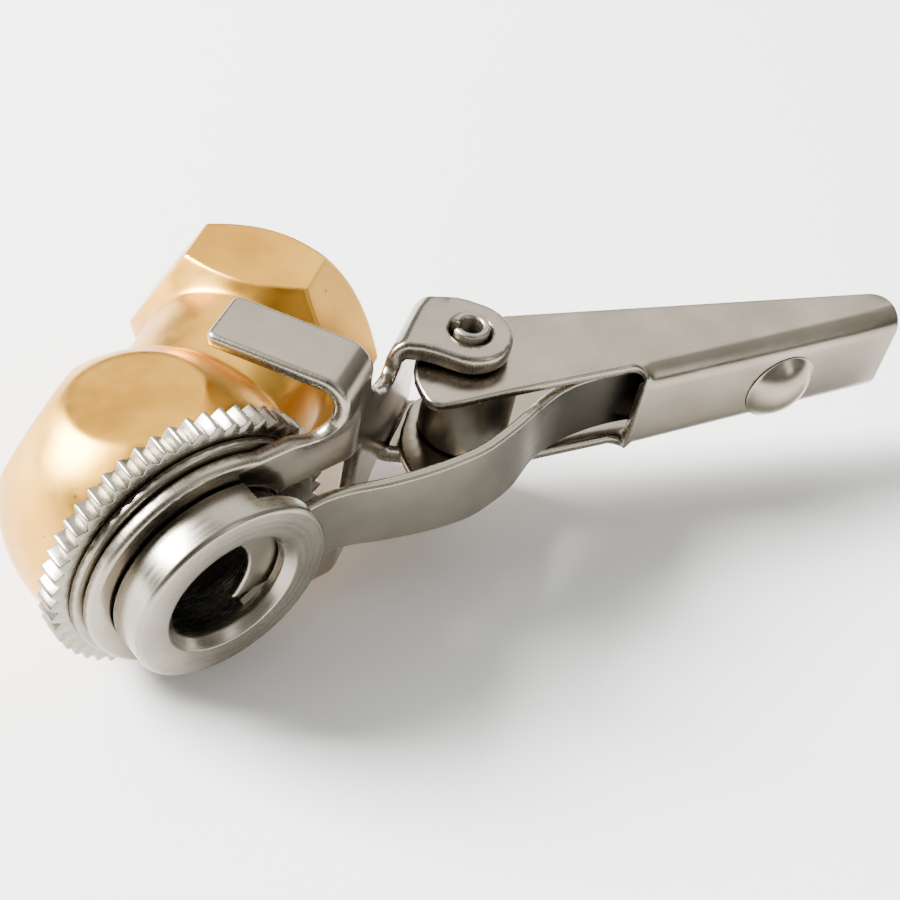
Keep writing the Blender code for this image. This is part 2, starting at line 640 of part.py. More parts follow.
def leaf_plan():
    """Plan of the leaf's middle line, in the lever's own frame, from jaw to root."""
    c, s = turned(LEVER_ANGLE)

    def to_lever(x, y):
        dx, dy = x - PIVOT[0], y - PIVOT[1]
        return dx * c + dy * s, -dx * s + dy * c

    slot = NOSE_REACH - JAW_SLOT_FRONT - RUN_GAP - LEAF_SHEET / 2
    flat = -LEVER_WEB + LEVER_SHEET + SEAT_GAP + LEAF_SHEET / 2
    front = [to_lever(slot, LEAF_TIP + LEAF_STRAIGHT * i / 3) for i in range(4)]
    front += [to_lever(slot + out, y) for out, y in LEAF_BOW]
    flex = to_lever(PIVOT[0] + FLEX_REACH, PIVOT[1])
    flat_part = [(LEAF_FLAT_START + LEAF_FLAT_STEP * i, flat) for i in range(3)]
    return front, flex, list(LEAF_ROOT_BOW) + flat_part + [(RIVET_PLACE + LEAF_PAST_RIVET, flat)]


def eased(count, keys):
    """Half widths along a strip: keys are (point number, half width), eased between."""
    halves = []
    for i in range(count):
        here = keys[0][1]
        for (start, first), (stop, last) in zip(keys, keys[1:]):
            share = min(max((i - start) / (stop - start), 0.0), 1.0)
            here += (last - first) * (1 - math.cos(math.pi * share)) / 2
        halves.append(here)
    return halves


def make_leaf(pivot, jaw_pivot, look):
    front, flex, root = leaf_plan()
    path = smooth_path(front + [flex] + root, 4)
    middle = min(range(len(path)), key=lambda i: (path[i] - Vector(flex)).length)
    jaw = path[:middle]
    tail = path[middle + 1:]
    along = (path[middle + 1] - path[middle - 1]).normalized()
    jaw.append(Vector(flex) - along * FLEX_LINE_GAP / 2)
    tail.insert(0, Vector(flex) + along * FLEX_LINE_GAP / 2)

    def notch(z):
        return math.sqrt(LEAF_NOTCH_RADIUS ** 2 - z * z) - LEAF_NOTCH_RADIUS

    halves = eased(len(jaw), ((0, LEAF_HALF_JAW), (18, LEAF_HALF_JAW),
                              (len(jaw) - 1, LEAF_HALF_BELLY)))
    front_piece = bent_strip(jaw, halves, LEAF_SHEET, notch, 8)
    c, s = turned(LEVER_ANGLE)
    offset = (PIVOT[0] + FLEX_REACH, PIVOT[1])
    to_frame = Matrix(((c, -s, 0, PIVOT[0] - offset[0]), (s, c, 0, PIVOT[1] - offset[1]),
                       (0, 0, 1, 0), (0, 0, 0, 1)))
    bmesh.ops.transform(front_piece, matrix=to_frame, verts=front_piece.verts)
    jaw_leaf = add_object("jaw_leaf", front_piece, jaw_pivot, look)

    halves = eased(len(tail), ((0, LEAF_HALF_BELLY), (3, LEAF_HALF_THROAT), (14, LEAF_HALF_ROOT)))
    root_piece = bent_strip(tail, halves, LEAF_SHEET, None, 6)
    leaf_root = add_object("leaf_root", root_piece, pivot, look)
    boolean(leaf_root, add_object("leaf_rivet_hole", rivet_hole(), pivot))
    return jaw_leaf, leaf_root


def make_rivet(pivot, look):
    outside = LEVER_WEB + SEAT_GAP
    inside = LEVER_WEB - LEVER_SHEET - SEAT_GAP - LEAF_SHEET - 2 * SEAT_GAP
    inside -= RIVET_WASHER_THICKNESS
    sphere = (RIVET_HEAD_RADIUS ** 2 + RIVET_HEAD_HEIGHT ** 2) / (2 * RIVET_HEAD_HEIGHT)
    half = math.degrees(math.asin(RIVET_HEAD_RADIUS / sphere))
    dome = arc((outside + RIVET_HEAD_HEIGHT - sphere, 0), sphere, 0, half, 6)
    dome[0] = (outside + RIVET_HEAD_HEIGHT, 0)
    tail = inside - RIVET_TAIL_HEIGHT
    profile = dome + [(outside, RIVET_SHANK), (inside, RIVET_SHANK), (inside, RIVET_TAIL_RADIUS),
                      (inside - RIVET_TAIL_HEIGHT * 2 / 3, RIVET_TAIL_RADIUS),
                      (tail, RIVET_SHANK), (tail, 0)]
    rivet = add_object("leaf_rivet", at_rivet(lathe(profile, SMALL_SIDES)), pivot, look)

    back = inside + SEAT_GAP
    ring = [(back, RIVET_SHANK + RUN_GAP), (back + RIVET_WASHER_THICKNESS, RIVET_SHANK + RUN_GAP),
            (back + RIVET_WASHER_THICKNESS, RIVET_WASHER_RADIUS), (back, RIVET_WASHER_RADIUS)]
    return rivet, add_object("rivet_washer", at_rivet(lathe(ring, SMALL_SIDES)), pivot, look)


# ---- valve -------------------------------------------------------------------------------------
def disc(name, low, thickness, outer, inner, frame, look, sides=COARSE_SIDES):
    ring = [(low, inner), (low + thickness, inner), (low + thickness, outer), (low, outer)]
    return add_object(name, lathe(ring, sides), frame, look)


def make_valve(frame, rubber, brass, steel):
    outer = SEAL_POCKET_RADIUS - SEAT_GAP / 2
    place = NOSE_REACH - NOSE_BORE_DEPTH - SEAT_GAP / 2 - STEM_SEAL_THICKNESS
    disc("stem_seal", place, STEM_SEAL_THICKNESS, outer, STEM_SEAL_BORE, frame, rubber)
    place -= SEAT_GAP / 2 + SEAL_WASHER_THICKNESS
    disc("seal_washer", place, SEAL_WASHER_THICKNESS, outer, STEM_SEAL_BORE, frame, brass)
    place -= SEAT_GAP / 2 + VALVE_SEAT_THICKNESS
    disc("valve_seat", place, VALVE_SEAT_THICKNESS, outer, VALVE_SEAT_BORE, frame, brass)

    slide = empty("poppet_axis", (place, 0), frame)
    seal = -SEAT_GAP / 2 - POPPET_SEAL_THICKNESS
    disc("poppet_seal", seal, POPPET_SEAL_THICKNESS, POPPET_RADIUS - 0.1,
         DEPRESSOR_RADIUS + SEAT_GAP, slide, rubber)
    head = seal - SEAT_GAP / 2 - POPPET_THICKNESS
    guide = head - POPPET_GUIDE
    guide_radius = SPRING_RADIUS - SPRING_WIRE / 2 - SEAT_GAP
    profile = [(guide, 0), (guide, guide_radius), (head, guide_radius), (head, POPPET_RADIUS),
               (head + POPPET_THICKNESS, POPPET_RADIUS),
               (head + POPPET_THICKNESS, DEPRESSOR_RADIUS), (head + POPPET_THICKNESS, 0)]
    poppet = add_object("poppet", lathe(profile, SMALL_SIDES), slide, brass)
    socket = head + POPPET_THICKNESS - POPPET_SOCKET
    hole = rod(TENON_RADIUS + SEAT_GAP / 2, socket, head + POPPET_THICKNESS + SPARE, PIN_SIDES)
    boolean(poppet, add_object("pin_socket", hole, slide))
    tip = DEPRESSOR_TIP - place
    foot = socket + SEAT_GAP / 2
    shoulder = head + POPPET_THICKNESS + SEAT_GAP / 2
    profile = [(foot, 0), (foot, TENON_RADIUS), (shoulder, TENON_RADIUS),
               (shoulder, DEPRESSOR_RADIUS), (tip - TIP_CHAMFER, DEPRESSOR_RADIUS),
               (tip, DEPRESSOR_RADIUS - TIP_CHAMFER), (tip, 0)]
    add_object("depressor_pin", lathe(profile, PIN_SIDES), slide, steel)
    make_spring(frame, place + head - SEAT_GAP / 2, CAVITY_END + SEAT_GAP / 2, steel)


def make_spring(frame, front, back, look):
    """Coil spring behind the poppet, with closed and ground ends left plain."""
    start = back + SPRING_WIRE / 2
    length = front - back - SPRING_WIRE
    count = SPRING_TURNS * SPRING_POINTS
    points = []
    for i in range(count + 1):
        turn = 2 * math.pi * i / SPRING_POINTS
        share = i / count
        points.append((start + length * share, SPRING_RADIUS * math.cos(turn),
                       SPRING_RADIUS * math.sin(turn)))
    curve = bpy.data.curves.new("poppet_spring", "CURVE")
    curve.dimensions = "3D"
    curve.bevel_depth = SPRING_WIRE / 2 * MM
    curve.bevel_resolution = 1
    curve.use_fill_caps = True
    spline = curve.splines.new("POLY")
    spline.points.add(len(points) - 1)
    for slot, point in zip(spline.points, points):
        slot.co = (point[0] * MM, point[1] * MM, point[2] * MM, 1)
    spline.use_smooth = True
    spring = bpy.data.objects.new("poppet_spring", curve)
    bpy.context.collection.objects.link(spring)
    spring.parent = frame
    curve.materials.append(look)
    print("poppet_spring least gap to itself: %.2f mm" % (length / SPRING_TURNS - SPRING_WIRE))
    return spring


# ---- assembly ------------------------------------------------------------------------------------
def build():
    clear_scene()
    mouth = inlet_mouth()
    frame = empty("ball_centre", (-mouth[0], -mouth[1]))
    brass = material("machined_brass", "D9B277", 0.3, 1.0)
    nickel = material("satin_nickel_steel", "B5AFA4", 0.32, 1.0)
    dark_steel = material("spring_steel", "8F897E", 0.35, 1.0)
    inner_brass = material("valve_brass", "C79C55", 0.35, 1.0)
    rubber = material("nitrile_rubber", "1E2122", 0.7, 0.0)

    make_body(frame, brass)
    make_o_ring(frame, rubber)
    make_nose(frame, nickel)
    make_knurled_ring(frame, nickel)
    make_back_ring(frame, nickel)
    make_bracket(frame, nickel)
    make_pin(frame, dark_steel)
    make_sleeve(frame, dark_steel)
    pivot = empty("lever_pivot", PIVOT, frame, LEVER_ANGLE)
    flex = empty("leaf_flex", (PIVOT[0] + FLEX_REACH, PIVOT[1]), frame)
    make_lever(pivot, nickel)
    make_leaf(pivot, flex, dark_steel)
    make_rivet(pivot, nickel)
    make_valve(frame, rubber, inner_brass, dark_steel)


build()
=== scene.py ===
"""Clip-on ball-foot air chuck, dressed for the camera.

Lengths are in millimetres, measured from the ball centre, where the axis of the nose
crosses the axis of the hose inlet.  to_part() turns them into metres in the part's frame.
"""
import math

import bmesh
import bpy
from mathutils import Matrix, Vector
from mathutils.geometry import tessellate_polygon


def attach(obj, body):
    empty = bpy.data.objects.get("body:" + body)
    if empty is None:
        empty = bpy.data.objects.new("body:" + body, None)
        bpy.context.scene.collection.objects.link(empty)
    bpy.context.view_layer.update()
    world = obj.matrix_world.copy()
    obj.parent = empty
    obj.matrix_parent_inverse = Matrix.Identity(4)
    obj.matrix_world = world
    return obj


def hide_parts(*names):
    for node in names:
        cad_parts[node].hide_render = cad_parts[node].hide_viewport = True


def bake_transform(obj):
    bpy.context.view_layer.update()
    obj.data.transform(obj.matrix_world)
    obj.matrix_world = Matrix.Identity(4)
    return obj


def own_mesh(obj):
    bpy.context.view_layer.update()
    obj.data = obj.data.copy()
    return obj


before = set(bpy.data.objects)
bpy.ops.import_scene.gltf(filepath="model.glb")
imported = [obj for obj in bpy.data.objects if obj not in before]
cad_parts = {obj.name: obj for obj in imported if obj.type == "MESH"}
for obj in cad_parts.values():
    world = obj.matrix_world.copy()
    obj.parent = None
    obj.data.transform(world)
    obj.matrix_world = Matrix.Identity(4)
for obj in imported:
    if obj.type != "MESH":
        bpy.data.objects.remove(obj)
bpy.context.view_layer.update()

MM = 0.001

# ---- sizes shared with the solids (mm) ----
BALL_RADIUS = 10.8
BALL_FLATS = 19.4
BALL_FLATS_TURN = 10.0
FRONT_FACE = 3.1
NECK_RADIUS = 7.5
INLET_ANGLE = 123.0
INLET_FLATS = 17.0
INLET_FLATS_TURN = 4.0
INLET_HEX_START = 15.2
INLET_MOUTH = 22.3
INLET_FACE_RADIUS = 8.4
INLET_BORE_RADIUS = 5.8
INLET_BORE_DEPTH = 9.6
INLET_LEAD_IN = 0.6
PASSAGE_RADIUS = 2.6
CAVITY_RADIUS = 5.2
CAVITY_END = -7.6

NOSE_REACH = 10.4
NOSE_RADIUS = 7.8
NOSE_HEAD = 3.05
NOSE_BORE_RADIUS = 4.6
NOSE_BORE_DEPTH = 6.8
NOSE_LEAD_IN = 0.7
SHANK_RADIUS = 6.6
SHANK_END = -0.5
SEAL_POCKET_RADIUS = 5.6
SLOT_FRONT = 1.4
SLOT_CHORD = 2.1

KNURL_BACK = 3.3
KNURL_THICKNESS = 1.8
KNURL_TIP = 11.25
KNURL_ROOT = 10.6
KNURL_TEETH = 52
RING_BORE = 6.85

SHEET = 1.2
STRAP_MIDDLE = 6.55  # middle of the strap's thickness, ahead of the ball centre
STRAP_RADIUS = 9.4
ARM_TOP = 8.7
ARM_INNER = 4.2
WEB_ANGLE = 33.0
WEB_MIDDLE = -4.6  # middle of the back web, from the pin
EAR_INNER = 4.85
EAR_OUTER = 6.65
EAR_RADIUS = 3.42
TAB_ANGLE = 30.0
TAB_FOOT = (6.43, 11.6)
TAB_HALF_WIDTH = 2.45
TAB_TOP = 13.1
TAB_BEND = 1.6
TAB_LENGTH = 10.35

PIVOT = (2.5, 26.5)
PIN_RADIUS = 1.5
PIN_HALF = 7.18
SLEEVE_RADIUS = 3.65
SLEEVE_WALL = 0.8
SLEEVE_OFF = 1.1
SLEEVE_WAY = 30.0
SLEEVE_HALF = 3.45

LEVER_ANGLE = 76.6
LEVER_SHEET = 0.9
LEVER_HALF = 4.55
LEVER_WEB = 6.77
LEVER_FOLD = 1.9
LEVER_TAIL = 38.9
LEVER_WEB_START = 13.0
RIVET_PLACE = 27.6
RIVET_DROP = 0.7
RIVET_HEAD_RADIUS = 3.3
RIVET_HEAD_HEIGHT = 1.5

LEAF_SHEET = 0.8
FLEX_REACH = 7.56  # the leaf's hinge in the solids, ahead of the pin

# ---- what only the visual model has (mm, and degrees for the shading) ----
BACK_RING_RADIUS = 9.9
BACK_RING_FACES = (5.14, 5.86)
PIN_WALL = 0.6
SHARP_TURNED, SHARP_CUT, SHARP_THREAD, SHARP_SHEET = 32.0, 24.0, 30.0, 40.0
BRACKET_RIM, LEVER_RIM, LEAF_RIM, PIN_RIM, SLEEVE_RIM = 0.38, 0.26, 0.22, 0.26, 0.2
CORNER_SHARE = 0.45  # of a profile's side, at most, goes to a rounded corner
SHARPEST_CORNER = 0.3  # limit on how far inset() moves the point of a corner
CREASE_MERGE = 1e-5
WELD = 0.002  # distance over which repeated parts are merged
FACET_SOFTNESS = 0.05  # of the edges between a turned form and the flats milled on it


# ---- small helpers ----
def turned(angle):
    return math.cos(math.radians(angle)), math.sin(math.radians(angle))


INLET_WAY = turned(INLET_ANGLE)
BALL_CENTRE = Vector((-INLET_MOUTH * INLET_WAY[0], -INLET_MOUTH * INLET_WAY[1], 0.0))


def to_part(point):
    """A point from the ball centre, in mm, as metres in the part's frame."""
    return (Vector(point) + BALL_CENTRE) * MM


def smooth_step(low, high, value):
    share = min(max((value - low) / (high - low), 0.0), 1.0)
    return share * share * (3 - 2 * share)


def soft_least(values, softness):
    """The least of a few lengths, with the corner between two of them rounded."""
    least = min(values)
    total = sum(math.exp((least - value) / softness) for value in values)
    return least - softness * math.log(total)


def soft_most(values, softness):
    return -soft_least([-value for value in values], softness)


def arc(centre, radius, start, end, steps):
    points = []
    for i in range(steps + 1):
        c, s = turned(start + (end - start) * i / steps)
        points.append((centre[0] + radius * c, centre[1] + radius * s))
    return points


def frame_matrix(origin, x_axis, y_axis, z_axis):
    made = Matrix((x_axis, y_axis, z_axis)).transposed().to_4x4()
    made.translation = Vector(origin)
    return made


def link_object(name, data):
    made = bpy.data.objects.new(name, data)
    bpy.context.collection.objects.link(made)
    return made


def shade(mesh, sharp):
    """Smooth shading, broken where two faces meet at more than sharp degrees."""
    mesh.shade_smooth()
    mesh.set_sharp_from_angle(angle=math.radians(sharp))


def add_mesh(name, bm, materials, sharp=SHARP_TURNED):
    """An object of a bmesh drawn in mm from the ball centre."""
    bmesh.ops.transform(bm, matrix=Matrix.Scale(MM, 4) @ Matrix.Translation(BALL_CENTRE),
                        verts=bm.verts)
    bmesh.ops.recalc_face_normals(bm, faces=bm.faces)
    mesh = bpy.data.meshes.new(name)
    bm.to_mesh(mesh)
    bm.free()
    for look in materials:
        mesh.materials.append(look)
    shade(mesh, sharp)
    return link_object(name, mesh)


def bake_modifiers(piece, sharp):
    """Replaces a piece's mesh by its finished one, with no modifier left."""
    bpy.context.view_layer.update()
    graph = bpy.context.evaluated_depsgraph_get()
    mesh = bpy.data.meshes.new_from_object(piece.evaluated_get(graph), depsgraph=graph)
    piece.modifiers.clear()
    piece.data = mesh
    shade(mesh, sharp)


def mend_normals(piece):
    bm = bmesh.new()
    bm.from_mesh(piece.data)
    bmesh.ops.recalc_face_normals(bm, faces=bm.faces)
    bm.to_mesh(piece.data)
    bm.free()


def block(name, middle, sizes, look):
    """A box, as a tool for cut_away()."""
    bm = bmesh.new()
    bmesh.ops.create_cube(bm, size=1.0)
    bmesh.ops.transform(bm, matrix=Matrix.Translation(middle) @ Matrix.Diagonal((*sizes, 1)),
                        verts=bm.verts)
    return add_mesh(name, bm, [look])


def cut_away(piece, *tools):
    for tool in tools:
        cut = piece.modifiers.new(tool.name, "BOOLEAN")
        cut.object = tool
        cut.operation = "DIFFERENCE"
    bake_modifiers(piece, SHARP_CUT)
    for tool in tools:
        bpy.data.objects.remove(tool, do_unlink=True)


def stand_for(piece, body, slot, *nodes):
    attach(piece, body)
    if nodes:
        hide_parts(*nodes)


# ---- mesh makers ----
def skin(bm, first, second):
    """Faces between two rings of points, or between a ring and a single point."""
    count = max(len(first), len(second))
    for i in range(count):
        j = (i + 1) % count
        if len(first) == 1:
            bm.faces.new((first[0], second[j], second[i]))
        elif len(second) == 1:
            bm.faces.new((first[i], first[j], second[0]))
        else:
            bm.faces.new((first[i], first[j], second[j], second[i]))


def lathe(profile, sides=144):
    """Turns (x, radius) points round X: a closed loop, or open with both ends on X."""
    bm = bmesh.new()
    rings = []
    for x, radius in profile:
        if radius <= 0:
            rings.append([bm.verts.new((x, 0, 0))])
            continue
        rings.append([bm.verts.new((x, radius * math.cos(2 * math.pi * i / sides),
                                    radius * math.sin(2 * math.pi * i / sides)))
                      for i in range(sides)])
    pairs = list(zip(rings, rings[1:]))
    if profile[0][1] > 0:
        pairs.append((rings[-1], rings[0]))
    for first, second in pairs:
        skin(bm, first, second)
    return bm


def lay(bm, origin, x_axis, y_axis, z_axis):
    bmesh.ops.transform(bm, matrix=frame_matrix(origin, x_axis, y_axis, z_axis), verts=bm.verts)
    return bm


def soften(profile, radius, closed=True, steps=3):
    """A profile with each of its corners rounded; an open one keeps its two ends."""
    points = []
    count = len(profile)
    for i in range(count):
        if not closed and i in (0, count - 1):
            points.append(profile[i])
            continue
        corner = Vector(profile[i])
        before = Vector(profile[i - 1]) - corner
        after = Vector(profile[(i + 1) % count]) - corner
        reach = min(radius, CORNER_SHARE * before.length, CORNER_SHARE * after.length)
        first, last = corner + before.normalized() * reach, corner + after.normalized() * reach
        for k in range(steps + 1):
            t = k / steps
            points.append(tuple((1 - t) ** 2 * first + 2 * t * (1 - t) * corner + t * t * last))
    return points


def inset(points, distance):
    """A loop moved into the material on its left by a small distance."""
    moved = []
    count = len(points)
    for i in range(count):
        here = Vector(points[i])
        a = (here - Vector(points[i - 1])).normalized()
        b = (Vector(points[(i + 1) % count]) - here).normalized()
        left_a, left_b = Vector((-a[1], a[0])), Vector((-b[1], b[0]))
        reach = 1 + left_a.dot(left_b)
        moved.append(here + (left_a + left_b) * distance / max(reach, SHARPEST_CORNER))
    return moved


def sheet(loops, thickness, rim):
    """Flat sheet metal: the first loop runs anticlockwise round it, the others clockwise
    round its holes.  The punched edge is rounded and carries a UV map: the distance round
    the edge, and the depth through the sheet.  Z is the depth through the sheet."""
    bm = bmesh.new()
    edge_map = bm.loops.layers.uv.new("edge")
    levels = [(rim * (1 - math.sin(math.radians(a))), rim * (1 - math.cos(math.radians(a))))
              for a in (0, 30, 60, 90)]
    levels += [(away, thickness - depth) for away, depth in levels[::-1]]
    bottoms, tops = [], []
    for loop in loops:
        lengths = [0.0]
        for i in range(len(loop)):
            lengths.append(lengths[-1] + (Vector(loop[(i + 1) % len(loop)])
                                          - Vector(loop[i])).length)
        rows = [[bm.verts.new((p[0], p[1], depth)) for p in inset(loop, away)]
                for away, depth in levels]
        for (_, depth), (_, deep), low, high in zip(levels, levels[1:], rows, rows[1:]):
            for i in range(len(loop)):
                j = (i + 1) % len(loop)
                face = bm.faces.new((low[i], low[j], high[j], high[i]))
                face.material_index = 1
                spots = ((lengths[i], depth), (lengths[i + 1], depth),
                         (lengths[i + 1], deep), (lengths[i], deep))
                for corner, spot in zip(face.loops, spots):
                    corner[edge_map].uv = (spot[0], spot[1] / thickness)
        bottoms.append(rows[0])
        tops.append(rows[-1])
    for rings, flip in ((bottoms, True), (tops, False)):
        flat = [vert for ring in rings for vert in ring]
        for face in tessellate_polygon([[v.co for v in ring] for ring in rings]):
            corners = [flat[i] for i in face]
            bm.faces.new(corners[::-1] if flip else corners)
    bmesh.ops.recalc_face_normals(bm, faces=bm.faces)
    return bm


def crease(bm, axis, places):
    """Lines across a flat sheet, along which it will bend; the axis is 0 or 1."""
    way = Vector((1 - axis, axis, 0))
    for place in places:
        bmesh.ops.bisect_plane(bm, geom=bm.verts[:] + bm.edges[:] + bm.faces[:],
                               dist=CREASE_MERGE, plane_co=way * place, plane_no=way)


def bend(bm, shape):
    """Moves each point (s, z, depth) of a flat sheet to where shape() says."""
    for vert in bm.verts:
        vert.co = shape(*vert.co)


def spaced(low, high, step):
    count = max(1, round((high - low) / step))
    return [low + (high - low) * i / count for i in range(count + 1)]


def anticlockwise(points):
    """A loop, turned round where it runs the other way."""
    area = sum(a[0] * b[1] - b[0] * a[1] for a, b in zip(points, points[1:] + points[:1])) / 2
    return points[::-1] if area < 0 else points


def hole(x, y, radius, steps):
    """The loop of a round hole, clockwise."""
    return arc((x, y), radius, 360, 0, steps)[:-1]


# ---- materials ----
def srgb(text):
    values = [int(text[i:i + 2], 16) / 255 for i in (1, 3, 5)]
    linear = [v / 12.92 if v <= 0.04045 else ((v + 0.055) / 1.055) ** 2.4 for v in values]
    return (*linear, 1.0)


def add_node(tree, kind, settings=None, **inputs):
    """Adds a node.  An input, named or numbered as _0, is a value or a (node, output) link."""
    made = tree.nodes.new(kind)
    for name, value in (settings or {}).items():
        setattr(made, name, value)
    for name, value in inputs.items():
        key = int(name[1:]) if name[0] == "_" else name.replace("_", " ")
        if isinstance(value, tuple) and len(value) == 2 and hasattr(value[0], "outputs"):
            join(tree, value, made, key)
        else:
            made.inputs[key].default_value = value
    return made


# ramp, mix_colours, noise and between return the link that the next node takes.
def ramp(tree, source, stops):
    made = add_node(tree, "ShaderNodeValToRGB", Fac=source)
    points = made.color_ramp.elements
    while len(points) > 1:
        points.remove(points[-1])
    for i, (place, colour) in enumerate(stops):
        point = points[0] if i == 0 else points.new(place)
        point.position = place
        point.color = srgb(colour)
    return made, "Color"


def mix_colours(tree, share, first, second):
    """A colour link mixed with a fixed colour.  6 and 7 are the Mix node's colour inputs, and
    2 is its colour output."""
    return add_node(tree, "ShaderNodeMix", {"data_type": "RGBA"}, _0=share, _6=first,
                    _7=srgb(second)), 2


def join(tree, source, node, name):
    """Links a (node, output) pair to an input of another node."""
    tree.links.new(source[0].outputs[source[1]], node.inputs[name])


def per_mm(size):
    """Noise scale whose features are about that many mm across, on Object coordinates."""
    return 1.0 / (size * MM)


def start_material(name, roughness, metallic):
    look = bpy.data.materials.new(name)
    look.use_nodes = True
    tree = look.node_tree
    shader = tree.nodes["Principled BSDF"]
    shader.inputs["Roughness"].default_value = roughness
    shader.inputs["Metallic"].default_value = metallic
    where = add_node(tree, "ShaderNodeTexCoord")
    return look, tree, shader, where


def noise(tree, where, size, detail, stretch=None):
    source = (where, "Object")
    if stretch:
        source = (add_node(tree, "ShaderNodeMapping", Vector=(where, "Object"),
                           Scale=stretch), "Vector")
    return add_node(tree, "ShaderNodeTexNoise", Vector=source, Scale=per_mm(size),
                    Detail=detail), "Fac"


def between(tree, source, low, high, first=0.0, last=1.0):
    return add_node(tree, "ShaderNodeMapRange", Value=source, From_Min=low, From_Max=high,
                    To_Min=first, To_Max=last), "Result"


def bump(tree, shader, heights):
    """Chains bumps: each is (height link, depth in mm, strength)."""
    last = None
    for source, depth, strength in heights:
        made = add_node(tree, "ShaderNodeBump", Height=source, Distance=depth * MM,
                        Strength=strength)
        if last:
            join(tree, (last, "Normal"), made, "Normal")
        last = made
    join(tree, (last, "Normal"), shader, "Normal")


def tumbled_brass():
    """Free-cutting brass, turned and milled from bar, then tumbled: warm and satin, with
    small dents and a slight tan film that varies over a few millimetres."""
    look, tree, shader, where = start_material("tumbled_brass", 0.26, 1.0)
    tone_share = noise(tree, where, size=7.0, detail=3.0)
    tint = ramp(tree, tone_share, ((0.3, "#C48C30"), (0.5, "#DAA03C"), (0.7, "#E8B350")))
    dents = add_node(tree, "ShaderNodeTexVoronoi", {"feature": "F1"}, Vector=(where, "Object"),
                     Scale=per_mm(2.6), Randomness=1.0)
    pit = between(tree, (dents, "Distance"), 0.03, 0.075, first=1.0, last=0.0)
    stained = mix_colours(tree, pit, tint, "#8F6A3C")
    join(tree, stained, shader, "Base Color")
    sheen = noise(tree, where, size=2.2, detail=4.0)
    dull = between(tree, sheen, 0.3, 0.7, first=0.27, last=0.4)
    join(tree, dull, shader, "Roughness")
    grit = noise(tree, where, size=0.22, detail=2.0)
    waves = noise(tree, where, size=3.4, detail=1.0)
    bump(tree, shader, ((grit, 0.01, 0.25), (waves, 0.03, 0.3), (pit, 0.02, -0.4)))
    return look


def satin_nickel(name, colours, dull, way, channel_shade=None):
    """Pressed strip steel under satin nickel plate: pale warm grey, rolled along one way,
    with soft smears left by the plating barrel.  dull is the range of its roughness.  The
    last argument is the stretch of Y, in metres, over which painted shade begins: the
    colour darkens where the lever's channel covers the leaf and shades it."""
    look, tree, shader, where = start_material(name, 0.3, 1.0)
    smear = noise(tree, where, size=5.0, detail=3.0)
    colour = ramp(tree, smear, tuple(zip((0.3, 0.5, 0.72), colours)))
    # Painted shade: the colour darkens along Y towards the lever's channel, whose roof shades
    # the leaf.
    if channel_shade:
        parts = add_node(tree, "ShaderNodeSeparateXYZ", Vector=(where, "Object"))
        tone_share = between(tree, (parts, "Y"), *channel_shade)
        colour = mix_colours(tree, tone_share, colour, "#4A473F")
    join(tree, colour, shader, "Base Color")
    rolled = noise(tree, where, size=0.4, detail=2.0, stretch=way)
    gloss = between(tree, rolled, 0.25, 0.75, *dull)
    join(tree, gloss, shader, "Roughness")
    ripple = noise(tree, where, size=4.5, detail=1.0)
    bump(tree, shader, ((rolled, 0.003, 0.05), (ripple, 0.04, 0.3)))
    return look


def sheared_steel(name, bright, dark):
    """The punched edge of plated sheet: burnished, with fine upright drag lines, and with a
    darker torn line just past the middle of its depth."""
    look, tree, shader, _ = start_material(name, 0.24, 1.0)
    spot = add_node(tree, "ShaderNodeUVMap", {"uv_map": "edge"})
    parts = add_node(tree, "ShaderNodeSeparateXYZ", Vector=(spot, "UV"))
    along = add_node(tree, "ShaderNodeCombineXYZ", X=(parts, "X"), Y=0.0)
    drag = add_node(tree, "ShaderNodeTexNoise", Vector=(along, "Vector"), Scale=5.5,
                    Detail=3.0)
    tear = add_node(tree, "ShaderNodeTexNoise", Vector=(spot, "UV"), Scale=3.0, Detail=3.0)
    line = add_node(tree, "ShaderNodeMath", {"operation": "MULTIPLY_ADD"}, _0=(tear, "Fac"),
                    _1=0.14, _2=(parts, "Y"))
    band = ramp(tree, (line, "Value"), ((0.0, bright), (0.42, bright), (0.56, dark),
                                        (0.68, bright), (1.0, bright)))
    join(tree, band, shader, "Base Color")
    gloss = between(tree, (drag, "Fac"), 0.3, 0.7, first=0.24, last=0.34)
    join(tree, gloss, shader, "Roughness")
    bump(tree, shader, (((drag, "Fac"), 0.004, 0.05),))
    return look


def turned_metal(name, colours, dull):
    """Turned steel or brass: fine rings round the nose axis, left by the tool.  dull is the
    range of its roughness."""
    look, tree, shader, where = start_material(name, 0.28, 1.0)
    centred = add_node(tree, "ShaderNodeMapping", Vector=(where, "Object"),
                       Location=tuple(-v * MM for v in BALL_CENTRE))
    parts = add_node(tree, "ShaderNodeSeparateXYZ", Vector=(centred, "Vector"))
    squares = add_node(tree, "ShaderNodeMath", {"operation": "MULTIPLY"}, _0=(parts, "Y"),
                       _1=(parts, "Y"))
    radius = add_node(tree, "ShaderNodeMath", {"operation": "MULTIPLY_ADD"}, _0=(parts, "Z"),
                      _1=(parts, "Z"), _2=(squares, "Value"))
    radius = add_node(tree, "ShaderNodeMath", {"operation": "SQRT"}, _0=(radius, "Value"))
    spot = add_node(tree, "ShaderNodeCombineXYZ", X=(parts, "X"), Y=(radius, "Value"))
    rings = add_node(tree, "ShaderNodeTexNoise", Vector=(spot, "Vector"),
                     Scale=per_mm(0.3), Detail=2.0)
    smear = noise(tree, where, size=4.0, detail=2.0)
    tint = ramp(tree, smear, tuple(zip((0.3, 0.5, 0.7), colours)))
    join(tree, tint, shader, "Base Color")
    gloss = between(tree, (rings, "Fac"), 0.3, 0.7, *dull)
    join(tree, gloss, shader, "Roughness")
    bump(tree, shader, (((rings, "Fac"), 0.008, 0.16),))
    return look


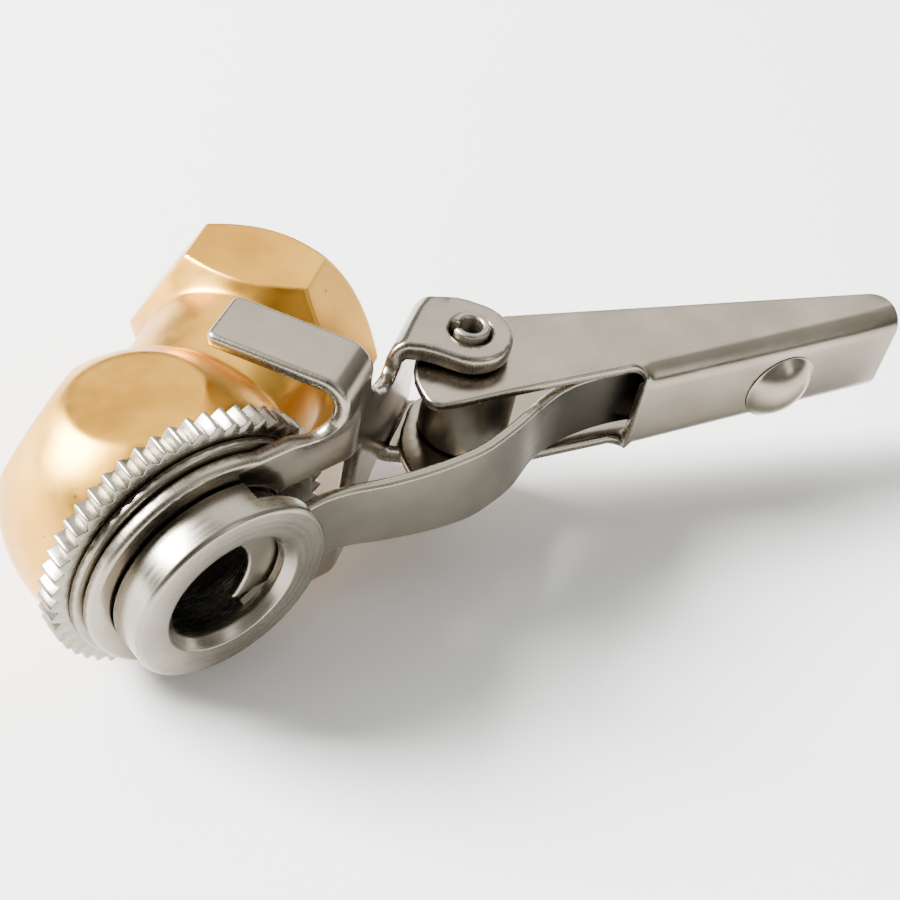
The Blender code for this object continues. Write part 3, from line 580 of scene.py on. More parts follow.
def moulded_rubber():
    """Moulded nitrile rubber: dark grey, dull, with a fine grain."""
    look, tree, shader, where = start_material("moulded_nitrile_rubber", 0.62, 0.0)
    dust = noise(tree, where, size=1.4, detail=3.0)
    tint = ramp(tree, dust, ((0.35, "#34393A"), (0.7, "#454A4A")))
    join(tree, tint, shader, "Base Color")
    grain = noise(tree, where, size=0.12, detail=2.0)
    bump(tree, shader, ((grain, 0.02, 0.3),))
    return look


def pale_floor():
    look, tree, shader, where = start_material("matt_white_board", 0.7, 0.0)
    tone = noise(tree, where, size=60.0, detail=1.0)
    tint = ramp(tree, tone, ((0.3, "#F4F4F2"), (0.7, "#F8F8F6")))
    join(tree, tint, shader, "Base Color")
    return look


# ---- brass body ----
NECK_FROM = 4.0  # along the inlet's axis from the ball centre
HEAD_FROM = INLET_HEX_START - 2
HEX_FROM = INLET_HEX_START - 1.5
SHOULDER_FOOT = INLET_HEX_START - 0.4
SHOULDER_SLOPE = 1.2  # of the hexagon's shoulder cone
FILLET_SOFTNESS = 0.16  # where the neck meets the ball and the hexagon
ON_FLAT = 0.5  # least cosine at which a flat can limit the radius
BODY_SIDES = 192
POLE_ANGLES = [179.4 - 1.7 * i for i in range(79)]  # of the rings on the ball
FINE_FROM = 14.4  # from here to the mouth the rings are closer
RING_STEP, FINE_STEP = 0.3, 0.1
MOUTH_BREAK, MOUTH_BREAK_AT = 0.08, 0.1  # the mouth's outer edge, radius and length
NOSE_THREAD_RADIUS = SHANK_RADIUS + 0.25
O_RING_SEAT = 1.0  # width of the O-ring's step round the thread
O_RING_DEPTH = 1.2
CLEAR = 0.4  # behind the nose's end
DRILL_POINT = 0.9


def body_radius(e, angle):
    """The body's radius round the inlet axis, at a distance e along it."""
    parts = [math.sqrt(max(BALL_RADIUS ** 2 - e * e, 0.0))]
    if e > NECK_FROM:
        parts.append(NECK_RADIUS)
    if e > HEAD_FROM:
        parts.append(min(NECK_RADIUS + (e - SHOULDER_FOOT) * SHOULDER_SLOPE,
                         INLET_FACE_RADIUS + (INLET_MOUTH - e)))
    limits = [soft_most(parts, FILLET_SOFTNESS) if len(parts) > 1 else parts[0]]
    flats, turn = INLET_FLATS, INLET_FLATS_TURN
    if e < HEX_FROM:
        flats, turn = BALL_FLATS, BALL_FLATS_TURN
    for i in range(6):
        c = math.cos(angle - math.radians(90 + turn + 60 * i))
        if c > ON_FLAT:
            limits.append(flats / 2 / c)
    return soft_least(limits, FACET_SOFTNESS)


def make_brass_body(look):
    places = [BALL_RADIUS * math.cos(math.radians(a)) for a in POLE_ANGLES]
    places += spaced(places[-1], FINE_FROM, RING_STEP)[1:]
    places += spaced(FINE_FROM, INLET_MOUTH - MOUTH_BREAK_AT, FINE_STEP)[1:]
    c, s = INLET_WAY
    side = Vector((s, -c, 0.0))
    bm = bmesh.new()
    rings = []
    for e in places + [INLET_MOUTH]:
        ring = []
        for i in range(BODY_SIDES):
            angle = 2 * math.pi * i / BODY_SIDES
            radius = body_radius(e, angle)
            if e == INLET_MOUTH:
                radius -= MOUTH_BREAK
            spot = Vector((c, s, 0)) * e + side * radius * math.cos(angle)
            spot.z = radius * math.sin(angle)
            ring.append(bm.verts.new(spot))
        rings.append(ring)
    for first, second in zip(rings, rings[1:]):
        skin(bm, first, second)
    for ring, e in ((rings[0], -BALL_RADIUS), (rings[-1], INLET_MOUTH)):
        skin(bm, ring, [bm.verts.new((c * e, s * e, 0))])
    body = add_mesh("brass_body_turned", bm, [look])

    wide = BALL_RADIUS + 1
    face = block("front_cut", (FRONT_FACE + wide / 2, 0, 0), (wide, 2 * wide - 0.6, 2 * wide),
                 look)
    back, step = SHANK_END - CLEAR, FRONT_FACE - O_RING_DEPTH
    seat = NOSE_THREAD_RADIUS + O_RING_SEAT
    nose = [(CAVITY_END, 0), (CAVITY_END, CAVITY_RADIUS), (back, CAVITY_RADIUS),
            (back, NOSE_THREAD_RADIUS), (step, NOSE_THREAD_RADIUS), (step, seat),
            (FRONT_FACE + 1, seat), (FRONT_FACE + 1, 0)]
    nose = add_mesh("nose_cut", lathe(nose, 96), [look])
    deep, past = INLET_MOUTH - INLET_BORE_DEPTH, INLET_MOUTH + 0.5
    bore = [(1.0, 0), (1.0, PASSAGE_RADIUS), (deep - DRILL_POINT, PASSAGE_RADIUS),
            (deep, INLET_BORE_RADIUS), (INLET_MOUTH - INLET_LEAD_IN, INLET_BORE_RADIUS),
            (past, INLET_BORE_RADIUS + INLET_LEAD_IN + 0.5), (past, 0)]
    bore = lay(lathe(bore, 96), (0, 0, 0), (c, s, 0), (-s, c, 0), (0, 0, 1))
    cut_away(body, face, nose, add_mesh("inlet_cut", bore, [look]))
    stand_for(body, "body", "machined_brass", "brass_body")


# ---- nose and rings ----
NOSE_CORNERS = 0.12
NOSE_EDGE = 0.42  # radius of the head's front edge
TOOTH_STEPS = 12
TOOTH_EDGE = 0.12  # chamfer of a tooth's two faces
TOOTH_SLOPE, TOOTH_FOOT = 1.12, 0.02  # the flank's rise, cut off by the blunt tip
TOOTH_INNER = 9.6  # radius of an extra loop on the ring's front
BACK_RING_EDGE = 0.3


def make_nose(look):
    front = NOSE_REACH
    shoulder = front - NOSE_HEAD
    pocket = front - NOSE_BORE_DEPTH
    head = soften([(shoulder, SHANK_RADIUS), (shoulder, NOSE_RADIUS), (front, NOSE_RADIUS),
                   (front, NOSE_BORE_RADIUS + NOSE_LEAD_IN),
                   (front - NOSE_LEAD_IN, NOSE_BORE_RADIUS), (pocket, NOSE_BORE_RADIUS),
                   (pocket, SEAL_POCKET_RADIUS), (SHANK_END, SEAL_POCKET_RADIUS),
                   (SHANK_END, SHANK_RADIUS)], NOSE_CORNERS)
    near = [i for i, p in enumerate(head) if p[0] > front - 0.2 and p[1] > NOSE_RADIUS - 0.2]
    head[near[0]:near[-1] + 1] = arc((front - NOSE_EDGE, NOSE_RADIUS - NOSE_EDGE), NOSE_EDGE,
                                     90, 0, 8)
    nose = add_mesh("nose_sleeve_turned", lathe(head, 180), [look])
    length = NOSE_HEAD - SLOT_FRONT + 0.3
    middle = front - SLOT_FRONT - length / 2
    cut_away(nose, block("slot_cut", (middle, SLOT_CHORD + 5, 0), (length, 10, 20), look))
    stand_for(nose, "body", "satin_nickel_steel", "nose_sleeve")


def tooth_sector():
    """One tooth of the lock ring and the slice of ring under it, open on its two sides."""
    bm = bmesh.new()
    half = math.pi / KNURL_TEETH
    chamfer, less = TOOTH_EDGE, 0.3 * TOOTH_EDGE
    rows = []
    for i in range(TOOTH_STEPS + 1):
        share = 2 * i / TOOTH_STEPS - 1
        rise = soft_least((1.0, TOOTH_SLOPE * (1 - abs(share)) + TOOTH_FOOT), FACET_SOFTNESS)
        tip = KNURL_ROOT + (KNURL_TIP - KNURL_ROOT) * rise
        angle = half * share
        section = [(0.0, RING_BORE), (0.0, tip - chamfer), (less, tip - less), (chamfer, tip),
                   (KNURL_THICKNESS - chamfer, tip), (KNURL_THICKNESS - less, tip - less),
                   (KNURL_THICKNESS, tip - chamfer), (KNURL_THICKNESS, TOOTH_INNER),
                   (KNURL_THICKNESS, RING_BORE)]
        rows.append([bm.verts.new((KNURL_BACK + x, r * math.cos(angle), r * math.sin(angle)))
                     for x, r in section])
    for first, second in zip(rows, rows[1:]):
        skin(bm, first, second)
    return bm


def start_group(name, **inputs):
    """A geometry node group, its input node, and the keys by which a modifier sets inputs."""
    tree = bpy.data.node_groups.new(name, "GeometryNodeTree")
    keys = {title: tree.interface.new_socket(title, in_out="INPUT",
                                             socket_type="NodeSocket" + kind).identifier
            for title, kind in inputs.items()}
    return tree, add_node(tree, "NodeGroupInput"), keys


def end_group(tree, mesh, look):
    tree.interface.new_socket("Mesh", in_out="OUTPUT", socket_type="NodeSocketGeometry")
    paint = add_node(tree, "GeometryNodeSetMaterial", Geometry=mesh, Material=look)
    join(tree, (paint, "Geometry"), add_node(tree, "NodeGroupOutput"), "Mesh")


def grow(piece, tree, keys, sharp, **values):
    """Runs a geometry node group on a piece and keeps what it makes."""
    nodes = piece.modifiers.new(tree.name, "NODES")
    nodes.node_group = tree
    for title, value in values.items():
        nodes[keys[title]] = value
    bake_modifiers(piece, sharp)


def repeat_round(look):
    """Geometry nodes: the sector it is given, repeated round X and welded into one ring."""
    tree, start, keys = start_group("teeth_round_ring", Sector="Geometry", Teeth="Int",
                                    Weld="Float")
    points = add_node(tree, "GeometryNodePoints", Count=(start, "Teeth"))
    index = add_node(tree, "GeometryNodeInputIndex")
    whole = add_node(tree, "ShaderNodeMath", {"operation": "DIVIDE"}, _0=2 * math.pi,
                     _1=(start, "Teeth"))
    turn = add_node(tree, "ShaderNodeMath", {"operation": "MULTIPLY"}, _0=(index, "Index"),
                    _1=(whole, "Value"))
    spin = add_node(tree, "ShaderNodeCombineXYZ", X=(turn, "Value"))
    spin = add_node(tree, "FunctionNodeEulerToRotation", Euler=(spin, "Vector"))
    copies = add_node(tree, "GeometryNodeInstanceOnPoints", Points=(points, "Points"),
                      Instance=(start, "Sector"), Rotation=(spin, "Rotation"))
    real = add_node(tree, "GeometryNodeRealizeInstances", Geometry=(copies, "Instances"))
    ring = add_node(tree, "GeometryNodeMergeByDistance", Geometry=(real, "Geometry"),
                    Distance=(start, "Weld"))
    end_group(tree, (ring, "Geometry"), look)
    return tree, keys


def make_rings(look):
    ring = add_mesh("knurled_lock_ring", tooth_sector(), [look])
    ring.data.transform(Matrix.Translation(-BALL_CENTRE * MM))
    grow(ring, *repeat_round(look), SHARP_SHEET, Teeth=KNURL_TEETH, Weld=WELD * MM)
    ring.data.transform(Matrix.Translation(BALL_CENTRE * MM))
    mend_normals(ring)
    stand_for(ring, "body", "satin_nickel_steel", "knurled_ring")
    low, high = BACK_RING_FACES
    band = soften([(low, RING_BORE), (high, RING_BORE), (high, BACK_RING_RADIUS),
                   (low, BACK_RING_RADIUS)], BACK_RING_EDGE)
    band = add_mesh("backing_ring_washer", lathe(band), [look])
    stand_for(band, "body", "satin_nickel_steel", "backing_ring")


# ---- clip bracket ----
# s is the distance from the nose axis along the unrolled middle line, q the distance from
# that line across the sheet.
BEND_RADIUS = 1.4
BEND_START = 11.4
WEB_OFFSET = 26.3  # the pin's s
EAR_FROM = 21.25  # s from which the web carries the ears
EAR_ROOT = 4.55  # q at which an ear's bend starts
EAR_TURN = 1.571  # and its length
EAR_CENTRE = 9.82  # the pin's q
TAB_START, TAB_STOP = 9.48, 14.05
TAB_TURN_AT = TAB_TOP - SHEET / 2 - TAB_BEND
TAB_TURNED = 2.52  # length creased for the tab's bend
TAB_CORNER, TAB_ROOT = 0.7, 1.9  # radii of its end's corners and of its root
TAB_BLEND = (7.4, 10.4)  # q over which the arm becomes the tab
TAB_BLEND_ALONG = (6.2, 8.6)  # and s over which it does so
STRAP_LENGTH = 13.3  # s at which the window ends
WINDOW_CORNER = 1.1
PIN_ROOM = 0.12


def arm_place(s, z, depth):
    """Strap plate, bend and back web, for a point s along the unrolled middle line."""
    away = depth - SHEET / 2
    sweep = math.radians(WEB_ANGLE)
    turn = min(max((s - BEND_START) / BEND_RADIUS, 0.0), sweep)
    out = Vector((math.cos(turn), math.sin(turn), 0.0))
    spot = Vector((STRAP_MIDDLE - BEND_RADIUS, BEND_START, 0.0)) + out * BEND_RADIUS
    if s < BEND_START:
        spot.y = s
    past = s - BEND_START - sweep * BEND_RADIUS
    if past > 0:
        spot += Vector((-math.sin(sweep), math.cos(sweep), 0.0)) * past
    spot += out * away
    spot.z = z
    return spot


def ear_place(s, q, depth):
    """Back web and the ear bent forward from it, for a point q up the unrolled web."""
    sign = 1 if q >= 0 else -1
    q = abs(q)
    inner_u, outer_u = WEB_MIDDLE + SHEET / 2, WEB_MIDDLE - SHEET / 2
    turn = min(max((q - EAR_ROOT) / EAR_TURN, 0.0), 1.0) * math.pi / 2
    low, high = min(q, EAR_ROOT), max(q - EAR_ROOT - EAR_TURN, 0.0)
    centre = inner_u + EAR_INNER - EAR_ROOT
    inner, outer = (Vector((centre - (centre - u) * math.cos(turn) + high,
                            low + (reach - EAR_ROOT) * math.sin(turn)))
                    for u, reach in ((inner_u, EAR_INNER), (outer_u, EAR_OUTER)))
    spot = outer.lerp(inner, depth / SHEET)
    c, sn = turned(WEB_ANGLE)
    v = s - WEB_OFFSET
    return Vector((PIVOT[0] + c * spot[0] - sn * v, PIVOT[1] + sn * spot[0] + c * v,
                   sign * spot[1]))


def tab_place(s, q, depth):
    """The finger tab: up from the arm, then bent back over the body."""
    c, sn = turned(TAB_ANGLE)
    front, side = Vector((c, sn, 0)), Vector((-sn, c, 0))
    across = (s - (TAB_START + TAB_STOP) / 2) * 2 * TAB_HALF_WIDTH / (TAB_STOP - TAB_START)
    turn = min(max((q - TAB_TURN_AT) / TAB_BEND, 0.0), math.pi / 2)
    run = max(q - TAB_TURN_AT - TAB_BEND * math.pi / 2, 0.0)
    spot = Vector((*TAB_FOOT, 0)) + side * across
    spot += front * (TAB_BEND * (math.cos(turn) - 1) - run)
    spot.z = min(q, TAB_TURN_AT) + TAB_BEND * math.sin(turn)
    return spot + (front * math.cos(turn) + Vector((0, 0, math.sin(turn)))) * (depth - SHEET / 2)


def bracket_place(s, q, depth):
    if s > EAR_FROM and abs(q) > 0:
        return ear_place(s, q, depth)
    spot = arm_place(s, q, depth)
    if q > TAB_BLEND[0]:
        near = smooth_step(*TAB_BLEND, q) * smooth_step(*TAB_BLEND_ALONG, s)
        spot = spot.lerp(tab_place(s, q, depth), near)
    return spot


def make_bracket(plate, edge):
    # The unrolled pressing above its middle line: the strap, from its far side to the arm,
    # then the arm's slope, the ear and the end of the web.
    strap_edge = math.degrees(math.asin(ARM_TOP / STRAP_RADIUS))
    strap = arc((0, 0), STRAP_RADIUS, 180, strap_edge, 36)
    ear = [(15.4, 8.2), (17.2, 6.3), (19.0, 4.9), (20.3, 4.35), (21.1, 4.2), (21.5, 4.5),
           (21.9, 5.3), (22.35, 6.1), (22.75, 7.2), (WEB_OFFSET - EAR_RADIUS, 8.4)]
    ear += arc((WEB_OFFSET, EAR_CENTRE), EAR_RADIUS, 180, 0, 28)
    ear += [(WEB_OFFSET + EAR_RADIUS, 8.6), (29.55, 7.6), (29.2, 6.8), (28.8, 6.0),
            (28.5, 5.0), (28.4, 3.6)]
    end = TAB_TURN_AT + TAB_BEND * math.pi / 2 + TAB_LENGTH - TAB_BEND
    tab = arc((TAB_START - TAB_ROOT, ARM_TOP + TAB_ROOT), TAB_ROOT, 270, 360, 8)
    tab += soften([(TAB_START, 12.0), (TAB_START, end), (TAB_STOP, end), (TAB_STOP, 12.0)],
                  TAB_CORNER, False, 5)
    tab += [(TAB_STOP, 10.2), (TAB_STOP + 0.1, 9.6), (TAB_STOP + 0.5, 9.0)]
    arm = [(6.0, ARM_TOP), (12.0, ARM_TOP), (14.0, ARM_TOP)]
    lower = [(s, -q) for s, q in strap[1:] + arm + ear]
    outline = lower + (strap + tab + ear)[::-1][:-1]
    outline = [outline[-1]] + outline[:-1]
    inner = math.degrees(math.asin(ARM_INNER / RING_BORE))
    window = arc((0, 0), RING_BORE, inner, 360 - inner, 60)
    window += soften([(8.0, -ARM_INNER), (STRAP_LENGTH, -ARM_INNER), (STRAP_LENGTH, ARM_INNER),
                      (8.0, ARM_INNER)], WINDOW_CORNER, False, 5)
    holes = [hole(WEB_OFFSET, side * EAR_CENTRE, PIN_RADIUS + PIN_ROOM, 32) for side in (1, -1)]
    bm = sheet([anticlockwise(outline), anticlockwise(window)[::-1]] + holes, SHEET,
               BRACKET_RIM)
    crease(bm, 0, spaced(6.0, 16.0, 0.4) + [EAR_FROM, EAR_FROM + 0.05])
    crease(bm, 1, spaced(TAB_BLEND[0], TAB_TURN_AT, 0.3)
           + spaced(TAB_TURN_AT, TAB_TURN_AT + TAB_TURNED, 0.2))
    for side in (1, -1):
        crease(bm, 1, [side * (EAR_ROOT + EAR_TURN * i / 8) for i in range(9)])
    crease(bm, 0, [19.0, 23.0, 25.0, 27.0, 29.0])
    bend(bm, bracket_place)
    piece = add_mesh("clip_bracket_pressed", bm, [plate, edge], SHARP_SHEET)
    stand_for(piece, "body", "satin_nickel_steel", "clip_bracket")


# ---- pivot ----
PIN_SLOT = 0.95
PIN_SLOT_WAY = LEVER_ANGLE + 163


def make_pivot(look):
    gap = math.degrees(PIN_SLOT / PIN_RADIUS) / 2
    first, last = PIN_SLOT_WAY + gap, PIN_SLOT_WAY + 360 - gap
    outer = arc((0, 0), PIN_RADIUS, first, last, 48)
    inner = arc((0, 0), PIN_RADIUS - PIN_WALL, last, first, 48)
    bm = sheet([outer + inner], 2 * PIN_HALF, PIN_RIM)
    bmesh.ops.translate(bm, verts=bm.verts, vec=(*PIVOT, -PIN_HALF))
    pin = add_mesh("slotted_spring_pin", bm, [look, look])
    stand_for(pin, "body", "spring_steel", "pivot_pin")
    c, s = turned(SLEEVE_WAY)
    inside = SLEEVE_RADIUS - SLEEVE_WALL
    wall = soften([(-SLEEVE_HALF, inside), (-SLEEVE_HALF, SLEEVE_RADIUS),
                   (SLEEVE_HALF, SLEEVE_RADIUS), (SLEEVE_HALF, inside)], SLEEVE_RIM)
    bm = lay(lathe(wall, 96), (PIVOT[0] + SLEEVE_OFF * c, PIVOT[1] + SLEEVE_OFF * s, 0),
             (0, 0, 1), (1, 0, 0), (0, 1, 0))
    sleeve = add_mesh("rolled_sleeve", bm, [look])
    stand_for(sleeve, "body", "spring_steel", "spacer_sleeve")


# ---- lever ----
FOLD_MIDDLE = LEVER_FOLD - LEVER_SHEET / 2
FLAT_HALF = LEVER_HALF - LEVER_FOLD
FOLD_LENGTH = FOLD_MIDDLE * math.pi / 2
SIDE_FROM = LEVER_WEB - LEVER_FOLD
SIDE_OFFSET = FLAT_HALF + FOLD_LENGTH + SIDE_FROM
STRAIGHT = (LEVER_WEB_START + 0.9, LEVER_WEB_START - 0.5)  # x over which the fold ends
EYE_RADIUS = 3.52
NOSE_CORNER = (-4.13, -3.85)  # centre of the corner at the lever's nose
NOSE_CORNER_RADIUS = 1.2
WEB_NOTCH = 0.9  # radius where the web's end meets a side
TAIL_CORNER = 1.6
PIVOT_HOLE = PIN_RADIUS + 0.3
RIVET_HOLE = 1.6


def from_lever(x, y, z):
    c, s = turned(LEVER_ANGLE)
    return Vector((PIVOT[0] + x * c - y * s, PIVOT[1] + x * s + y * c, z))


def lever_place(x, w, depth):
    """The folded channel, for a point w across its unrolled sheet."""
    sign = 1 if w >= 0 else -1
    w = abs(w)
    away = depth - LEVER_SHEET / 2
    turn = min(max((w - FLAT_HALF) / FOLD_MIDDLE, 0.0), math.pi / 2)
    past = max(w - FLAT_HALF - FOLD_LENGTH, 0.0)
    z = min(w, FLAT_HALF) + (FOLD_MIDDLE + away) * math.sin(turn)
    y = -SIDE_FROM - (FOLD_MIDDLE + away) * math.cos(turn) + past
    straight = smooth_step(*STRAIGHT, x) if w > 3 else 0.0
    y += (w - SIDE_OFFSET - y) * straight
    z += (LEVER_HALF - LEVER_SHEET / 2 + away - z) * straight
    return from_lever(x, y, sign * z)


def make_lever(plate, edge):
    side = [(LEVER_TAIL, -3.5), (3.4, 3.0)]
    side += arc((0, 0), EYE_RADIUS, 72, 150, 12)
    side += [(-4.0, 0.6), (-4.75, -0.62), (-5.2, -1.8), (-5.33, -2.9)]
    side += arc(NOSE_CORNER, NOSE_CORNER_RADIUS, 180, 258, 8)
    side += [(-2.7, -5.17), (1.5, -5.14), (7.0, -5.3), (LEVER_WEB_START - 1.4, -5.45)]
    half = [(x, y + SIDE_OFFSET) for x, y in side]
    corner = arc((LEVER_WEB_START - WEB_NOTCH, half[-1][1] - WEB_NOTCH), WEB_NOTCH, 90, 0, 6)
    half = (soften([(LEVER_TAIL, 0), half[0], half[1]], TAIL_CORNER, False, 6)[1:-1]
            + half[1:] + corner)
    outline = half + [(LEVER_WEB_START, 0.0)] + [(x, -w) for x, w in half[::-1]]
    holes = [hole(0, sign * SIDE_OFFSET, PIVOT_HOLE, 36) for sign in (1, -1)]
    holes.append(hole(RIVET_PLACE, -RIVET_DROP, RIVET_HOLE, 28))
    bm = sheet([anticlockwise(outline)] + holes, LEVER_SHEET, LEVER_RIM)
    for sign in (1, -1):
        crease(bm, 1, [sign * (FLAT_HALF + FOLD_LENGTH * i / 10) for i in range(11)])
    crease(bm, 0, spaced(LEVER_WEB_START - 0.6, LEVER_WEB_START + 1.0, 0.2)
           + [5.0, 18.0, 24.0, 30.0, 35.0])
    bend(bm, lever_place)
    piece = add_mesh("thumb_lever_folded", bm, [plate, edge], SHARP_SHEET)
    stand_for(piece, "lever", "satin_nickel_steel", "lever")


RIVET_LIFT = 0.02  # of the head off the lever
RIVET_BRIM = 0.06
RIVET_SHANK = 1.3
RIVET_REACH = 2.5  # of the upset end into the lever
# The upset end: its points' heights above its tip, and radii.
UPSET = ((0.85, RIVET_SHANK), (0.85, 1.85), (0.5, 1.9), (0.15, 1.6), (0.0, 1.0), (0.0, 0.0))


def make_rivet(look):
    outside = LEVER_WEB + RIVET_LIFT
    inside = LEVER_WEB - LEVER_SHEET - RIVET_REACH
    sphere = (RIVET_HEAD_RADIUS ** 2 + RIVET_HEAD_HEIGHT ** 2) / (2 * RIVET_HEAD_HEIGHT)
    half = math.degrees(math.asin(RIVET_HEAD_RADIUS / sphere))
    profile = arc((outside + RIVET_HEAD_HEIGHT - sphere, 0), sphere, 0, half - 1.5, 16)
    profile[0] = (outside + RIVET_HEAD_HEIGHT, 0)
    profile += [(outside + RIVET_BRIM, RIVET_HEAD_RADIUS),
                (outside, RIVET_HEAD_RADIUS - RIVET_BRIM), (outside, RIVET_SHANK)]
    profile += [(inside + height, radius) for height, radius in UPSET]
    c, s = turned(LEVER_ANGLE)
    bm = lay(lathe(profile, 72), from_lever(RIVET_PLACE, 0, -RIVET_DROP), (s, -c, 0),
             (c, s, 0), (0, 0, 1))
    piece = add_mesh("leaf_rivet_domed", bm, [look])
    stand_for(piece, "lever", "satin_nickel_steel", "leaf_rivet")


# ---- spring leaf ----
JAW_CURVE = 4.2  # radius of the jaw's notched tip
JAW_HALF_WIDTH = 2.9
TIP_TO_FLARE = (-1.0, -3.08)
ROOT_CORNER = 0.8  # radius of the two corners at its end
ROOT_CORNER_AT = 1.9  # from the middle to the centre of each
RIVET_TO_END = 5.6
LEAF_HOLE = 1.5
JAW_TIP = 2.3
JAW_PLAY = 0.25  # in front of the jaw in the nose's slot
ROOT_GAP = 0.2  # between the root and the lever
LEAF_HALF_WIDTH = 3.1
FLARE = (0.12, 8.6, 1.6)  # the jaw's flare: its height, its middle and its spread
# Further changes of the half width: by how much, and between which two places of Y.
WIDENING = ((0.9, 9.5, 26.5), (-0.7, 26.4, 29.4), (-0.4, 31.0, 40.0))


def smooth_path(points, steps):
    """A curve through all the points."""
    first = tuple(2 * a - b for a, b in zip(points[0], points[1]))
    last = tuple(2 * a - b for a, b in zip(points[-1], points[-2]))
    knots = [first, *points, last]
    path = []
    for k in range(1, len(knots) - 2):
        p0, p1, p2, p3 = (Vector(knots[k + i]) for i in (-1, 0, 1, 2))
        for i in range(steps):
            t = i / steps
            path.append(0.5 * (2 * p1 + (p2 - p0) * t + (2 * p0 - 5 * p1 + 4 * p2 - p3) * t * t
                               + (3 * p1 - p0 - 3 * p2 + p3) * t ** 3))
    path.append(Vector(knots[-2]))
    return path


def leaf_line():
    """Middle line of the leaf in plan, from the jaw's tip to its root in the lever."""
    slot = NOSE_REACH - SLOT_FRONT - JAW_PLAY - LEAF_SHEET / 2
    flat = -LEVER_WEB + LEVER_SHEET + ROOT_GAP + LEAF_SHEET / 2
    line = [(slot, JAW_TIP + step) for step in (0.0, 2.2, 4.4, 6.6)]
    bow = ((0.32, 11.1), (1.17, 13.7), (1.81, 16.1), (2.3, 18.6), (2.55, 21.5), (2.21, 24.2))
    line += [(slot + out, y) for out, y in bow]
    line.append((PIVOT[0] + FLEX_REACH, PIVOT[1]))
    root = ((4.6, -5.6), (7.4, -4.6), (10.6, -4.2), (14.0, -4.35), (17.3, flat + 0.3),
            (20.5, flat), (24.0, flat), (RIVET_PLACE + RIVET_TO_END, flat))
    line += [tuple(from_lever(x, y, 0)[:2]) for x, y in root]
    return smooth_path(line, 12)


def leaf_half_width(y):
    """Half width of the leaf: a little flare at the jaw, then widest past the bow."""
    high, middle, spread = FLARE
    width = LEAF_HALF_WIDTH + high * math.exp(-((y - middle) / spread) ** 2)
    return width + sum(gain * smooth_step(first, last, y) for gain, first, last in WIDENING)


def make_leaf(plate, edge):
    line = leaf_line()
    lengths = [0.0]
    for a, b in zip(line, line[1:]):
        lengths.append(lengths[-1] + (b - a).length)
    total = lengths[-1]

    def place(s, z, depth):
        s = min(max(s, 0.0), total)
        k = next(i for i in range(1, len(lengths)) if lengths[i] >= s)
        share = (s - lengths[k - 1]) / (lengths[k] - lengths[k - 1])
        spot = line[k - 1].lerp(line[k], share)
        last = line[min(k + 1, len(line) - 1)] - line[max(k - 1, 0)]
        first = line[k] - line[max(k - 2, 0)]
        ahead = first.lerp(last, share).normalized()
        away = depth - LEAF_SHEET / 2
        return Vector((spot[0] + ahead[1] * away, spot[1] - ahead[0] * away, z))

    tip = [(math.sqrt(JAW_CURVE ** 2 - z * z) - JAW_CURVE, -z)
           for z in spaced(-JAW_HALF_WIDTH, JAW_HALF_WIDTH, 0.3)]
    end = total - ROOT_CORNER
    places = [(lengths[i], line[i][1]) for i in range(8, len(line), 4)]
    lower = [TIP_TO_FLARE] + [(s, -leaf_half_width(y)) for s, y in places if s < end]
    root = (arc((end, -ROOT_CORNER_AT), ROOT_CORNER, 270, 360, 5)
            + arc((end, ROOT_CORNER_AT), ROOT_CORNER, 0, 90, 5))
    outline = tip + lower + root + [(s, -z) for s, z in lower[::-1]]
    rivet = hole(total - RIVET_TO_END, -RIVET_DROP, LEAF_HOLE, 28)
    bm = sheet([anticlockwise(outline), rivet], LEAF_SHEET, LEAF_RIM)
    crease(bm, 0, spaced(0.4, total - 0.4, 0.4))
    bend(bm, lambda s, z, depth: place(s, z, depth) + Vector((0, min(s, 0.0), 0)))
    piece = add_mesh("spring_leaf", bm, [plate, edge], SHARP_SHEET)
    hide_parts("jaw_leaf", "leaf_root")
    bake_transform(piece)


# ---- inlet thread ----
THREAD_PITCH = 1.337
THREAD_LENGTH = 8.0
THREAD_BACK = 0.9  # from the inlet's mouth to the thread
RIDGE_SIZE = 0.75
RIDGE_SUNK = 0.12  # of the ridge's middle in the wall


def thread_nodes(look):
    """Geometry nodes: a four-sided ridge wound along a helix, for the inlet's thread."""
    tree, start, keys = start_group("thread_ridge", Geometry="Geometry", Turns="Float",
                                    Radius="Float", Length="Float", Ridge="Float")
    helix = add_node(tree, "GeometryNodeCurveSpiral", Resolution=64, Rotations=(start, "Turns"),
                     Start_Radius=(start, "Radius"), End_Radius=(start, "Radius"),
                     Height=(start, "Length"))
    ridge = add_node(tree, "GeometryNodeCurvePrimitiveCircle", {"mode": "RADIUS"}, Resolution=4,
                     Radius=(start, "Ridge"))
    tube = add_node(tree, "GeometryNodeCurveToMesh", Curve=(helix, "Curve"),
                    Profile_Curve=(ridge, "Curve"), Fill_Caps=True)
    real = add_node(tree, "GeometryNodeRealizeInstances", Geometry=(tube, "Mesh"))
    end_group(tree, (real, "Geometry"), look)
    return tree, keys


def make_inlet_thread(look):
    piece = add_mesh("inlet_thread", bmesh.new(), [look])
    grow(piece, *thread_nodes(look), SHARP_THREAD, Turns=THREAD_LENGTH / THREAD_PITCH,
         Radius=(INLET_BORE_RADIUS + RIDGE_SUNK) * MM, Length=THREAD_LENGTH * MM,
         Ridge=RIDGE_SIZE * MM)
    c, s = INLET_WAY
    deep = INLET_MOUTH - THREAD_LENGTH - THREAD_BACK
    piece.data.transform(frame_matrix(to_part((c * deep, s * deep, 0)), (-s, c, 0), (0, 0, 1),
                                      (c, s, 0)))
    mend_normals(piece)
    stand_for(piece, "body", "machined_brass")


